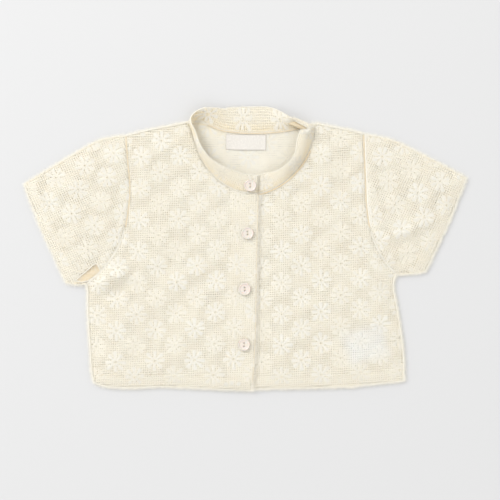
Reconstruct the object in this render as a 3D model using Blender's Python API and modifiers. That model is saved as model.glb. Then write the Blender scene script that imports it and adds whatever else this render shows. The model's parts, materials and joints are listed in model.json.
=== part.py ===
# Short-sleeved lace cardigan of a small child, buttoned and laid flat on its back.
# +X is the viewer's right, +Y is towards the neck, +Z is up from the surface it lies on.
# The origin is on that surface, under the middle of the whole outline.
# Plan sizes and heights are in millimetres here and are turned into metres when a mesh is made.

import math

import bmesh
import bpy
from mathutils import Vector
from mathutils.geometry import delaunay_2d_cdt

MM = 0.001

# Cloth
WALL = 1.2            # one layer of lace
DOUBLED = 1.8         # lace folded on itself: hem, cuff, front edge
SEAM_GAP = 0.3        # clear space between two pieces
EDGE_STEP = 6.0       # spacing of the points along an outline
GRID_STEP = 16.0      # spacing of the points inside a plain surface
HEM_WIDTH = 11.5
CUFF_WIDTH = 11.5
PLACKET_WIDTH = 24.5

# How far the upper layer stands off the lower one
PUFF = 2.2
PUFF_REACH = 15.0     # distance from the outline over which it rises

# Where doubled cloth thins to one layer, and where the fronts part beside the lap
FADE = 1.4            # width over which doubled cloth thins
LAP_MARGIN = 3.0      # width beyond the lap that stays as high as the lap
LAP_RUN = 18.0        # width over which the fronts settle beyond that
CLEAR_OF_EDGE = 2.2   # inner points keep this far from an outline
CLEAR_OF_FADE = 2.5   # daisy points keep this far from a thinning edge

# Lace motif: a daisy on a half-drop repeat
DAISY_RELIEF = 0.7
DAISY_RING = 6.5      # radius of the highest part of the petals
DAISY_REACH = 10.2    # radius of the petal tips
DAISY_EYE = 0.35      # height left at the eye, as a share of the relief
BETWEEN_DAISIES = [(0.5, 0.25), (0.5, -0.25), (0.0, 0.5), (0.67, 0.0), (-0.67, 0.0)]
COLUMN = 18.9         # spacing of the columns
REPEAT = 30.2         # spacing along a column

# Outlines, as (x, y) points that a smooth curve passes through
SIDE_RIGHT = [
    (-152.9, -34.1), (-151.4, -42.0), (-151.0, -68.6), (-149.1, -97.4), (-147.6, -118.6),
    (-145.4, -128.0),
]
SIDE_LEFT = [
    (145.1, -24.5), (142.3, -36.0), (145.2, -54.2), (150.0, -83.0), (152.2, -104.0),
    (152.8, -127.0),
]
HEM_UNDER_RIGHT = [(-145.4, -128.0), (-140.0, -131.4), (-115.5, -133.9), (-77.0, -132.8), (-29.1, -135.2)]
HEM_TO_LAP = [(-29.1, -135.2), (-8.0, -136.0), (6.4, -136.3)]
HEM_UNDER_LEFT = [(6.4, -135.2), (33.3, -134.4), (95.7, -133.0), (119.7, -130.6), (152.8, -127.0)]
ARMHOLE_RIGHT = [
    (-152.9, -34.1), (-140.4, -23.5), (-130.8, -12.0), (-122.2, 1.4), (-116.0, 17.8),
    (-112.1, 38.9), (-110.9, 61.0), (-113.1, 85.0), (-114.9, 108.5),
]
ARMHOLE_LEFT = [
    (145.1, -24.5), (135.1, -13.0), (126.4, 1.4), (119.7, 19.7), (116.4, 41.8),
    (115.4, 65.8), (114.4, 89.8), (114.0, 109.9),
]
SHOULDER_RIGHT = [(-114.9, 108.5), (-91.5, 114.2), (-67.5, 119.0), (-56.0, 121.2)]
SHOULDER_LEFT = [(114.0, 109.9), (100.5, 113.8), (86.1, 116.6), (68.0, 120.4)]
SLEEVE_TOP_RIGHT = [(-114.9, 108.5), (-129.9, 106.6), (-146.2, 101.3), (-181.7, 80.6), (-212.6, 61.9)]
SLEEVE_TOP_LEFT = [(114.0, 109.9), (129.3, 107.0), (146.6, 101.8), (186.9, 81.6), (212.6, 67.7)]
CUFF_RIGHT = [(-212.6, 61.9), (-203.8, 37.9), (-193.7, 13.0), (-183.6, -8.2), (-172.5, -32.6)]
CUFF_LEFT = [(212.6, 67.7), (204.2, 46.6), (194.6, 22.6), (185.0, 2.4), (173.5, -21.6)]
SLEEVE_UNDER_RIGHT = [(-152.9, -34.1), (-162.5, -34.6), (-172.5, -32.6)]
SLEEVE_UNDER_LEFT = [(145.1, -24.5), (160.0, -24.2), (173.5, -21.6)]
NECKLINE_BACK = [
    (-56.0, 121.2), (-49.0, 122.3), (-42.5, 122.0), (-33.0, 118.4), (-21.0, 113.7),
    (0.0, 111.4), (22.0, 111.8), (37.0, 113.2), (50.0, 115.6), (60.0, 118.4), (68.0, 120.4),
]
NECKLINE_RIGHT = [
    (11.7, 52.6), (-4.0, 54.5), (-18.0, 60.5), (-30.5, 70.0), (-40.5, 82.0),
    (-47.0, 96.0), (-51.5, 110.0), (-56.0, 121.2),
]
NECKLINE_LEFT = [
    (-15.0, 51.2), (11.0, 52.8), (25.0, 57.0), (38.0, 64.5), (49.0, 75.0),
    (57.0, 86.0), (62.8, 98.0), (65.6, 109.0), (68.0, 120.4),
]
LAP_EDGE = [(11.7, 52.6), (12.2, 46.6), (11.2, 8.2), (10.3, -39.8), (9.3, -87.8), (6.4, -136.3)]
UNDER_EDGE_SHIFT = -PLACKET_WIDTH    # the edge of the front that lies under the lap, from LAP_EDGE

# Creases: from (x, y) to (x, y), half width and height, which is negative for a trough
CREASE_COLUMNS = ("x0", "y0", "x1", "y1", "half_width", "height")
CREASES = [
    (-196.0, 72.0, -184.0, 14.0, 7.0, -0.9),
    (-172.0, 88.0, -160.0, 30.0, 9.0, 0.8),
    (-150.0, -20.0, -128.0, 4.0, 7.0, -0.8),
    (-147.0, -38.0, -118.0, -28.0, 8.0, 2.6),
    (-140.0, -58.0, -112.0, -34.0, 6.0, -0.9),
    (-106.0, -96.0, -58.0, -46.0, 9.0, -0.9),
    (-84.0, -118.0, -44.0, -72.0, 9.0, 0.8),
    (-78.0, -70.0, -30.0, -24.0, 9.0, -0.7),
    (-98.0, -38.0, -52.0, 2.0, 9.0, -0.8),
    (-96.0, 92.0, -92.0, 30.0, 10.0, 0.7),
    (-62.0, 96.0, -70.0, 50.0, 9.0, -0.6),
    (95.0, 108.0, 94.0, 78.0, 8.0, -0.9),
    (76.0, 112.0, 78.0, 58.0, 8.0, 0.8),
    (60.0, 40.0, 112.0, 10.0, 12.0, 0.7),
    (40.0, -70.0, 96.0, -40.0, 11.0, 0.6),
    (138.0, 10.0, 182.0, 27.0, 5.0, 2.0),
    (140.0, 0.0, 186.0, 17.0, 6.0, -1.1),
    (118.0, -30.0, 140.0, -36.0, 7.0, 1.6),
    (146.0, -60.0, 150.0, -118.0, 4.0, 1.0),
    (106.0, -90.0, 132.0, -96.0, 17.0, 1.3),
]

# Neckband: the seam point, the panel that carries it there (1 a front, -1 the back), how far the
# free edge lies from the seam in plan, positive towards the neck's middle, how far it rises, and
# the bow of its section
BAND_THICKNESS = 1.8
BAND_STEP = 3.5           # spacing of its sections
BAND_POINTS = 5           # points across a section
BAND_EDGE_SHARE = 0.72    # thickness left at the rounded free edge
BAND_COLUMNS = ("x", "y", "carrier", "lean", "rise", "bow")
BAND = [
    (11.5, 52.6, 1.0, 17.0, 0.4, 0.2),
    (-4.0, 54.5, 1.0, 17.0, 1.0, 0.4),
    (-18.0, 60.5, 1.0, 15.5, 3.6, 1.0),
    (-30.5, 70.0, 1.0, 11.5, 7.0, 1.6),
    (-40.5, 82.0, 1.0, 7.0, 9.0, 1.8),
    (-47.0, 96.0, 1.0, 4.0, 10.0, 1.8),
    (-51.0, 110.0, 1.0, 2.5, 10.5, 1.6),
    (-52.4, 118.0, 0.9, 0.5, 10.5, 1.4),
    (-49.4, 123.2, 0.0, -4.0, 9.5, 1.2),
    (-42.9, 122.6, -1.0, -12.0, 7.0, 1.0),
    (-33.0, 118.5, -1.0, -17.2, 3.6, 0.6),
    (-21.0, 113.8, -1.0, -21.8, 1.6, 0.3),
    (0.0, 111.5, -1.0, -24.3, 1.2, 0.2),
    (22.0, 111.9, -1.0, -23.8, 1.4, 0.2),
    (37.0, 113.3, -1.0, -20.6, 3.4, 0.8),
    (50.0, 115.8, -1.0, -13.0, 7.0, 1.8),
    (60.0, 119.2, -0.5, -3.0, 9.6, 2.2),
    (65.4, 118.0, 0.6, 4.5, 9.8, 2.4),
    (66.4, 110.5, 1.0, 10.5, 9.2, 2.6),
    (62.6, 98.0, 1.0, 12.5, 8.4, 2.4),
    (57.0, 86.0, 1.0, 10.0, 8.4, 2.0),
    (49.0, 75.0, 1.0, 9.5, 7.4, 1.6),
    (38.0, 64.5, 1.0, 12.0, 4.6, 1.0),
    (25.0, 57.0, 1.0, 16.0, 1.2, 0.3),
    (11.0, 52.8, 1.0, 17.0, 0.2, 0.0),
    (-9.0, 51.4, 1.0, 17.0, 0.1, 0.0),
]
BAND_TURN = 8    # the row of BAND where it goes from the front that laps over to the back

# Sleeves: a flattened tube
SLEEVE_RINGS = 17                      # rings from the armhole to the cuff's doubled cloth
SLEEVE_ACROSS = 20                     # points across its upper layer
SLEEVE_FINE = 3.0                      # spacing of the points along its four edges
FOLD_STEPS = [0.5, 1.8]                # points of the rounded folds, from the edge
UNDER_SHARES = [0.8, 0.6, 0.4, 0.2]    # points across its lower layer

# Buttons
BUTTON_RADIUS = 5.8
BUTTON_THICK = 2.4
BUTTON_RIM = 1.2
BUTTON_DISH = 0.7
BUTTON_SLOPE = 1.0            # width of the slope from the rim to the dish
BUTTON_ROUND = 0.6            # size of its broken edges
TOP_BUTTON_LIFT = 0.5         # the neckband under the top button lifts it this much
BUTTON_HOLE_RADIUS = 0.7
BUTTON_HOLE_SPACING = 2.6
BUTTON_PLACES = [(4.7, 60.4), (2.1, 14.7), (-0.6, -38.8), (-1.2, -92.0)]

# Labels: middle, length, height, turn in degrees
LABEL_THICKNESS = 1.0
NECK_LABEL = {"middle": (0.7, 102.2), "size": (38.4, 14.4), "turn": -0.6, "bulge": 0.9}
CARE_LABEL = {"middle": (119.0, -92.0), "size": (36.0, 27.0), "turn": 14.0, "bulge": 0.0}

LACE = (0.90, 0.85, 0.72)
PEARL = (0.87, 0.80, 0.70)
SATIN = (0.93, 0.91, 0.88)


def named(rows, columns):
    return [dict(zip(columns, row)) for row in rows]


def curve_through(points, spacing=EDGE_STEP):
    # Catmull-Rom curve through the points, with a point about every spacing
    ends = [points[0]] + list(points) + [points[-1]]
    found = [points[0]]
    for a, b, c, d in zip(ends, ends[1:], ends[2:], ends[3:]):
        count = max(1, round(math.dist(b, c) / spacing))
        for step in range(1, count + 1):
            t = step / count
            point = []
            for p, q, r, s in zip(a, b, c, d):
                bend = (2 * p - 5 * q + 4 * r - s) * t**2 + (3 * q - p - 3 * r + s) * t**3
                point.append(0.5 * (2 * q + (r - p) * t + bend))
            found.append(tuple(point))
    return found


def joined(*curves):
    # One closed outline from curves that follow each other
    loop = []
    for curve in curves:
        loop += curve if not loop else curve[1:]
    return loop[:-1] if math.dist(loop[0], loop[-1]) < 1e-6 else loop


def distance_to(line, x, y):
    best = math.inf
    for (ax, ay), (bx, by) in zip(line, line[1:]):
        dx, dy = bx - ax, by - ay
        t = max(0.0, min(1.0, ((x - ax) * dx + (y - ay) * dy) / (dx * dx + dy * dy)))
        best = min(best, math.hypot(x - ax - t * dx, y - ay - t * dy))
    return best


def inside(loop, x, y):
    odd = False
    for (ax, ay), (bx, by) in zip(loop, loop[1:] + loop[:1]):
        if (ay > y) != (by > y) and x < ax + (y - ay) * (bx - ax) / (by - ay):
            odd = not odd
    return odd


def step_up(value, low, high):
    # 0 below low, 1 above high, smooth between
    t = max(0.0, min(1.0, (value - low) / (high - low)))
    return t * t * (3 - 2 * t)


def at_x(curve, y):
    # The x where a curve that runs down the garment has this y
    rows = sorted(curve, key=lambda point: point[1])
    for (ax, ay), (bx, by) in zip(rows, rows[1:]):
        if y <= by:
            return ax + (bx - ax) * max(0.0, (y - ay) / (by - ay))
    return rows[-1][0]


LAP_CURVE = curve_through(LAP_EDGE)
UNDER_CURVE = [(x + UNDER_EDGE_SHIFT, y + 1.0) for x, y in LAP_CURVE]
HEM_RIGHT = joined(curve_through(HEM_UNDER_RIGHT), curve_through(HEM_TO_LAP))
HEM_LEFT = curve_through(HEM_UNDER_LEFT)

SILHOUETTE = (
    curve_through(HEM_UNDER_RIGHT)[::-1]
    + curve_through(SIDE_RIGHT)[::-1]
    + curve_through(SLEEVE_UNDER_RIGHT)
    + curve_through(CUFF_RIGHT)[::-1]
    + curve_through(SLEEVE_TOP_RIGHT)[::-1]
    + curve_through(SHOULDER_RIGHT)
    + curve_through(NECKLINE_BACK)
    + curve_through(SHOULDER_LEFT)[::-1]
    + curve_through(SLEEVE_TOP_LEFT)
    + curve_through(CUFF_LEFT)
    + curve_through(SLEEVE_UNDER_LEFT)[::-1]
    + curve_through(SIDE_LEFT)
    + HEM_LEFT[::-1]
    + curve_through(HEM_TO_LAP)[::-1]
)
SILHOUETTE = [p for i, p in enumerate(SILHOUETTE) if math.dist(p, SILHOUETTE[i - 1]) > 1e-6]
SILHOUETTE.append(SILHOUETTE[0])


def crease_height(x, y):
    # Each crease is a ridge of Gaussian section that fades out towards its ends
    total = 0.0
    for crease in named(CREASES, CREASE_COLUMNS):
        dx, dy = crease["x1"] - crease["x0"], crease["y1"] - crease["y0"]
        long = dx * dx + dy * dy
        t = ((x - crease["x0"]) * dx + (y - crease["y0"]) * dy) / long
        beyond = max(0.0, -t, t - 1.0) * math.sqrt(long)
        across = abs((x - crease["x0"]) * dy - (y - crease["y0"]) * dx) / math.sqrt(long)
        total += crease["height"] * math.exp(-(across**2 + beyond**2) / crease["half_width"] ** 2)
    return total


def puff(x, y):
    # How far the upper layer stands off the lower one, from 0 at the outline
    rise = 1 - math.exp(-((distance_to(SILHOUETTE, x, y) / PUFF_REACH) ** 2))
    return max(0.0, rise * (PUFF + crease_height(x, y)))


def beyond_lap(x, y):
    # 0 where the fronts lap, rising to 1 on the side of the front that lies below
    flat_to = at_x(LAP_CURVE, y) + LAP_MARGIN
    return step_up(x, flat_to, flat_to + LAP_RUN)


def lap_cover(x, y):
    # 1 where the two fronts lap, fading to 0 on both sides
    edge = at_x(LAP_CURVE, y)
    flat_from = edge - PLACKET_WIDTH - LAP_MARGIN
    return step_up(x, flat_from - LAP_RUN, flat_from) * (1 - beyond_lap(x, y))


def upper_low(x, y):
    # Underside of the front that lies on top: at least clear of the one below it
    return WALL + SEAM_GAP + max(puff(x, y), (DOUBLED + SEAM_GAP) * lap_cover(x, y))


def under_low(x, y):
    # Underside of the front that lies below: flat where it is lapped
    return WALL + SEAM_GAP + puff(x, y) * beyond_lap(x, y)


class Lattice:
    # Half-drop repeat of daisies: a place, the step to the next column and the step down a column
    def __init__(self, anchor, across, down):
        self.anchor, self.across, self.down = anchor, across, down

    def place(self, column, row):
        row += 0.5 * (column % 2)
        return (
            self.anchor[0] + column * self.across[0] + row * self.down[0],
            self.anchor[1] + column * self.across[1] + row * self.down[1],
        )

    def places(self, reach=16):
        return [self.place(c, r) for c in range(-reach, reach + 1) for r in range(-reach, reach + 1)]

    def offset(self, along_across, along_down):
        return (
            along_across * self.across[0] + along_down * self.down[0],
            along_across * self.across[1] + along_down * self.down[1],
        )


LACE_RIGHT = Lattice((-63.9, 28.5), (COLUMN, 0.5), (-0.9, -REPEAT))
LACE_LEFT = Lattice((34.9, -2.4), (COLUMN, 1.1), (0.0, -REPEAT))
SLEEVE_LACE_RIGHT = Lattice(
    (-160.4, 56.6), (0.41 * COLUMN, -0.91 * COLUMN), (-0.92 * REPEAT, -0.39 * REPEAT)
)
SLEEVE_LACE_LEFT = Lattice(
    (165.5, 53.3), (-0.41 * COLUMN, -0.91 * COLUMN), (0.92 * REPEAT, -0.39 * REPEAT)
)


def daisy_height(lattice, x, y):
    # A round pad with a dip for the eye, highest at DAISY_RING
    nearest = min(math.dist((x, y), place) for place in lattice)
    if nearest >= DAISY_REACH:
        return 0.0
    if nearest < DAISY_RING:
        return DAISY_RELIEF * (DAISY_EYE + (1 - DAISY_EYE) * nearest / DAISY_RING)
    return DAISY_RELIEF * (DAISY_REACH - nearest) / (DAISY_REACH - DAISY_RING)


def daisy_points(lattice):
    # Eye, ring of petals and the low places between the daisies
    points = []
    for x, y in lattice.places():
        points.append((x, y))
        for turn in range(6):
            angle = math.radians(60 * turn + 30)
            points.append((x + DAISY_RING * math.cos(angle), y + DAISY_RING * math.sin(angle)))
        for along_across, along_down in BETWEEN_DAISIES:
            dx, dy = lattice.offset(along_across, along_down)
            points.append((x + dx, y + dy))
    return points


def grid_points(loop, step=GRID_STEP):
    xs, ys = [x for x, _ in loop], [y for _, y in loop]
    columns, rows = int((max(xs) - min(xs)) / step), int((max(ys) - min(ys)) / step)
    return [
        (min(xs) + step * (c + 0.5 + 0.5 * (r % 2)), min(ys) + step * (r + 0.5))
        for c in range(columns + 1)
        for r in range(rows + 1)
    ]


def filled(loop, points):
    # Triangles over an outline and the points inside it that keep clear of its edge
    closed = loop + loop[:1]
    kept = [p for p in points if inside(loop, *p) and distance_to(closed, *p) > CLEAR_OF_EDGE]
    edges = [(i, (i + 1) % len(loop)) for i in range(len(loop))]
    verts, _, faces, _, _, _ = delaunay_2d_cdt([Vector(p) for p in loop + kept], edges, [], 1, 1e-5)
    return [(v.x, v.y) for v in verts], faces


def material(name, colour, roughness):
    made = bpy.data.materials.new(name)
    made.use_nodes = True
    shader = made.node_tree.nodes["Principled BSDF"]
    shader.inputs["Base Color"].default_value = (*colour, 1.0)
    shader.inputs["Roughness"].default_value = roughness
    shader.inputs["Metallic"].default_value = 0.0
    return made


def add_object(name, mesh, collection, colour, roughness=0.9):
    obj = bpy.data.objects.new(name, mesh)
    mesh.materials.append(material(name, colour, roughness))
    collection.objects.link(obj)
    return obj


def mesh_from(name, build):
    # A mesh whose bmesh the given function fills in, in millimetres
    made = bmesh.new()
    build(made)
    bmesh.ops.scale(made, vec=(MM, MM, MM), verts=made.verts)
    bmesh.ops.recalc_face_normals(made, faces=made.faces)
    mesh = bpy.data.meshes.new(name)
    made.to_mesh(mesh)
    made.free()
    return mesh


def panel_mesh(name, loop, low, high, low_points, high_points):
    # A wall of cloth between two heights over an outline, each side with its own inner points
    def build(made):
        sides = []
        for height, points in ((low, low_points), (high, high_points)):
            flat, faces = filled(loop, points)
            verts = [made.verts.new((x, y, height(x, y))) for x, y in flat]
            for face in faces:
                made.faces.new([verts[i] for i in face])
            sides.append(verts)
        count = len(loop)
        for i in range(count):
            j = (i + 1) % count
            made.faces.new([sides[0][i], sides[0][j], sides[1][j], sides[1][i]])

    return mesh_from(name, build)


def shrunk(loop, distance):
    # The outline moved in by this distance; it runs round in either sense
    area = sum(ax * by - bx * ay for (ax, ay), (bx, by) in zip(loop, loop[1:] + loop[:1]))
    side = 1 if area > 0 else -1
    moved = []
    for i, (x, y) in enumerate(loop):
        ax, ay = loop[i - 1]
        bx, by = loop[(i + 1) % len(loop)]
        long = math.hypot(bx - ax, by - ay)
        moved.append((x - side * (by - ay) / long * distance, y + side * (bx - ax) / long * distance))
    return moved


def build_back(collection):
    loop = joined(
        curve_through(HEM_UNDER_RIGHT)[::-1],
        curve_through(SIDE_RIGHT)[::-1],
        curve_through(ARMHOLE_RIGHT),
        curve_through(SHOULDER_RIGHT),
        curve_through(NECKLINE_BACK),
        curve_through(SHOULDER_LEFT)[::-1],
        curve_through(ARMHOLE_LEFT)[::-1],
        curve_through(SIDE_LEFT),
        HEM_LEFT[::-1],
        curve_through(HEM_TO_LAP)[::-1],
    )
    loop = shrunk(loop, SEAM_GAP / 2)
    mesh = panel_mesh("back", loop, lambda x, y: 0.0, lambda x, y: WALL, [], grid_points(loop))
    add_object("back", mesh, collection, LACE)


def build_fronts(collection):
    right = shrunk(joined(
        HEM_RIGHT[::-1],
        curve_through(SIDE_RIGHT)[::-1],
        curve_through(ARMHOLE_RIGHT),
        curve_through(SHOULDER_RIGHT),
        curve_through(NECKLINE_RIGHT)[::-1],
        LAP_CURVE,
    ), SEAM_GAP / 2)
    left = shrunk(joined(
        curve_through(NECKLINE_LEFT),
        curve_through(SHOULDER_LEFT)[::-1],
        curve_through(ARMHOLE_LEFT)[::-1],
        curve_through(SIDE_LEFT),
        HEM_LEFT[::-1],
        UNDER_CURVE[:0:-1],
        [NECKLINE_LEFT[0]],
    ), SEAM_GAP / 2)
    right_daisies = LACE_RIGHT.places()
    left_daisies = LACE_LEFT.places()

    right_doubled = [(x - PLACKET_WIDTH, y) for x, y in LAP_CURVE]
    left_doubled = [(x + LAP_MARGIN, y) for x, y in LAP_CURVE]

    def hem_cover(hem, x, y):
        return 1 - step_up(distance_to(hem, x, y), HEM_WIDTH, HEM_WIDTH + FADE)

    def thickness(doubled, daisies, x, y):
        return WALL + (DOUBLED - WALL) * doubled + (1 - doubled) * daisy_height(daisies, x, y)

    def right_high(x, y):
        edge = at_x(right_doubled, y)
        doubled = max(hem_cover(HEM_RIGHT, x, y), step_up(x, edge - FADE, edge))
        return upper_low(x, y) + thickness(doubled, right_daisies, x, y)

    def left_high(x, y):
        edge = at_x(left_doubled, y)
        doubled = max(hem_cover(HEM_LEFT, x, y), 1 - step_up(x, edge, edge + FADE))
        return under_low(x, y) + thickness(doubled, left_daisies, x, y)

    def high_points(lattice, hem, edge, side):
        # The daisies, and two rows of points at each line where doubled cloth thins
        points = [
            p for p in daisy_points(lattice)
            if distance_to(hem, *p) > HEM_WIDTH + CLEAR_OF_FADE
            and abs(p[0] - at_x(edge, p[1])) > CLEAR_OF_FADE
        ]
        for fade in (0.0, FADE):
            points += [(x, y + HEM_WIDTH + fade) for x, y in hem]
            points += [(x + side * fade, y) for x, y in edge]
        return points

    mesh = panel_mesh(
        "front_right", right, upper_low, right_high,
        grid_points(right), high_points(LACE_RIGHT, HEM_RIGHT, right_doubled, -1),
    )
    add_object("front_right", mesh, collection, LACE)
    mesh = panel_mesh(
        "front_left", left, under_low, left_high,
        grid_points(left), high_points(LACE_LEFT, HEM_LEFT, left_doubled, 1),
    )
    add_object("front_left", mesh, collection, LACE)


def along(curve, t):
    # The point at this share of a curve's length
    lengths = [math.dist(a, b) for a, b in zip(curve, curve[1:])]
    left = t * sum(lengths)
    for (a, b), long in zip(zip(curve, curve[1:]), lengths):
        if left <= long or b is curve[-1]:
            share = min(1.0, left / long)
            return (a[0] + (b[0] - a[0]) * share, a[1] + (b[1] - a[1]) * share)
        left -= long
    return curve[-1]


def coons(start, end, top, under, s, r):
    # Point of the sheet between four edges: s from start to end, r from the top fold to the under fold
    a, b = along(start, r), along(end, r)
    c, d = along(top, s), along(under, s)
    corners = (start[0], end[0], start[-1], end[-1])
    return tuple(
        (1 - s) * a[k] + s * b[k] + (1 - r) * c[k] + r * d[k]
        - (1 - s) * (1 - r) * corners[0][k] - s * (1 - r) * corners[1][k]
        - (1 - s) * r * corners[2][k] - s * r * corners[3][k]
        for k in (0, 1)
    )


def build_sleeve(collection, name, armhole, cuff, top, under, lattice):
    # A flattened tube: rings of a wall that lies flat below and puffs up above, from armhole to cuff
    armhole, cuff = curve_through(armhole, SLEEVE_FINE)[::-1], curve_through(cuff, SLEEVE_FINE)
    top, under = curve_through(top, SLEEVE_FINE), curve_through(under, SLEEVE_FINE)
    length = math.dist(along(armhole, 0.5), along(cuff, 0.5))
    seam_start = SEAM_GAP / 2 / length
    band_start = 1 - CUFF_WIDTH / length
    stations = [
        seam_start + (band_start - seam_start) * i / SLEEVE_RINGS for i in range(SLEEVE_RINGS + 1)
    ]
    stations += [band_start + FADE / length, (band_start + 1) / 2, 1.0]
    inner_stations = stations[::4] + [1.0]
    daisies = lattice.places()
    middle = (2 * WALL + SEAM_GAP) / 2

    def ring(s, inner):
        edges = [coons(armhole, cuff, top, under, s, r) for r in (0, 1)]
        width = math.dist(*edges)
        inset = WALL / width if inner else 0.0
        doubled = step_up(s, band_start, band_start + FADE / length)
        folds = [step / width for step in FOLD_STEPS]
        shares = [0.0] + folds + [i / SLEEVE_ACROSS for i in range(1, SLEEVE_ACROSS)]
        shares += [1 - fold for fold in reversed(folds)] + [1.0]
        under_shares = [1 - fold for fold in folds] + UNDER_SHARES + folds[::-1]
        points = []
        for share, is_upper in [(v, True) for v in shares] + [(v, False) for v in under_shares]:
            r = inset + share * (1 - 2 * inset)
            x, y = coons(armhole, cuff, top, under, s, r)
            edge = min(share, 1 - share) * width
            round_off = math.sqrt(1 - (1 - min(1.0, edge / FOLD_STEPS[-1])) ** 2)
            clear = SEAM_GAP / 2 + (0 if inner else WALL)
            if not is_upper:
                points.append((x, y, middle - clear * round_off))
                continue
            high = clear + puff(x, y)
            if not inner:
                high += (DOUBLED - WALL) * doubled + (1 - doubled) * daisy_height(daisies, x, y)
            points.append((x, y, middle + high * round_off))
        return points

    def build(made):
        walls = []
        for inner in (False, True):
            rings = [
                [made.verts.new(point) for point in ring(s, inner)]
                for s in (inner_stations if inner else stations)
            ]
            for near, far in zip(rings, rings[1:]):
                for i in range(len(near)):
                    made.faces.new([near[i - 1], near[i], far[i], far[i - 1]])
            walls.append(rings)
        for end in (0, -1):
            outer, inner = walls[0][end], walls[1][end]
            for i in range(len(outer)):
                made.faces.new([outer[i - 1], outer[i], inner[i], inner[i - 1]])

    add_object(name, mesh_from(name, build), collection, LACE)


def build_neckband(collection):
    rows = named(BAND, BAND_COLUMNS)
    for number, row in enumerate(rows):
        front = upper_low if number <= BAND_TURN else under_low
        on_front = (row["carrier"] + 1) / 2
        row["z"] = BAND_THICKNESS / 2 + on_front * front(row["x"], row["y"])
    keys = ("x", "y", "z", "carrier", "lean", "rise", "bow")
    stations = curve_through([tuple(row[key] for key in keys) for row in rows], BAND_STEP)

    def section(i):
        # The section's middle line, as (distance towards the neck's middle, height) from the seam
        carrier, lean, rise, bow = stations[i][3:]
        width = math.hypot(lean, rise)
        start = carrier * (SEAM_GAP + BAND_THICKNESS / 2 * rise / width)
        line = []
        for step in range(BAND_POINTS):
            w = step / (BAND_POINTS - 1)
            arch = 4 * w * w * (1 - w) * bow
            line.append((start + lean * w - arch * rise / width, rise * w + arch * abs(lean) / width))
        return line

    def ring(i):
        x, y, z = stations[i][:3]
        ax, ay = stations[max(i - 1, 0)][:2]
        bx, by = stations[min(i + 1, len(stations) - 1)][:2]
        long = math.hypot(bx - ax, by - ay)
        nx, ny = (by - ay) / long, -(bx - ax) / long
        line = section(i)
        sides = ([], [])
        for k, (u, h) in enumerate(line):
            u0, h0 = line[max(k - 1, 0)]
            u1, h1 = line[min(k + 1, BAND_POINTS - 1)]
            long = math.hypot(u1 - u0, h1 - h0)
            half = BAND_THICKNESS / 2 * (BAND_EDGE_SHARE if k == BAND_POINTS - 1 else 1.0)
            du, dh = -(h1 - h0) / long * half, (u1 - u0) / long * half
            sides[0].append((u + du, h + dh))
            sides[1].append((u - du, h - dh))
        return [(x + nx * u, y + ny * u, max(z + h, 0.0)) for u, h in sides[0] + sides[1][::-1]]

    def build(made):
        rings = [[made.verts.new(point) for point in ring(i)] for i in range(len(stations))]
        for near, far in zip(rings, rings[1:]):
            for i in range(len(near)):
                made.faces.new([near[i - 1], near[i], far[i], far[i - 1]])
        made.faces.new(rings[0])
        made.faces.new(rings[-1][::-1])

    add_object("neckband", mesh_from("neckband", build), collection, LACE)


def label_corners(label, columns, rows):
    # Points of a turned rectangle, row by row
    (mx, my), (width, height) = label["middle"], label["size"]
    turn = math.radians(label["turn"])
    for r in range(rows + 1):
        for c in range(columns + 1):
            u, v = width * (c / columns - 0.5), height * (r / rows - 0.5)
            yield (
                mx + u * math.cos(turn) - v * math.sin(turn),
                my + u * math.sin(turn) + v * math.cos(turn),
                c / columns, r / rows,
            )


def build_label(collection, name, label, base):
    # Satin strip, with its lower edge bulging off the cloth between the sewn ends
    columns, rows = 8, 3

    def build(made):
        sides = []
        for lift in (0.0, LABEL_THICKNESS):
            sides.append([
                made.verts.new((x, y, base + lift + label["bulge"] * math.sin(math.pi * c) ** 2 * (1 - r)))
                for x, y, c, r in label_corners(label, columns, rows)
            ])
        across = columns + 1
        for verts in sides:
            for r in range(rows):
                for c in range(columns):
                    i = r * across + c
                    made.faces.new([verts[i], verts[i + 1], verts[i + 1 + across], verts[i + across]])
        rim = list(range(across)) + [columns + across * r for r in range(1, rows + 1)]
        rim += [across * rows + c for c in range(columns - 1, -1, -1)]
        rim += [across * r for r in range(rows - 1, 0, -1)]
        for i, j in zip(rim, rim[1:] + rim[:1]):
            made.faces.new([sides[0][i], sides[0][j], sides[1][j], sides[1][i]])

    add_object(name, mesh_from(name, build), collection, SATIN, 0.35)


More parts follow.
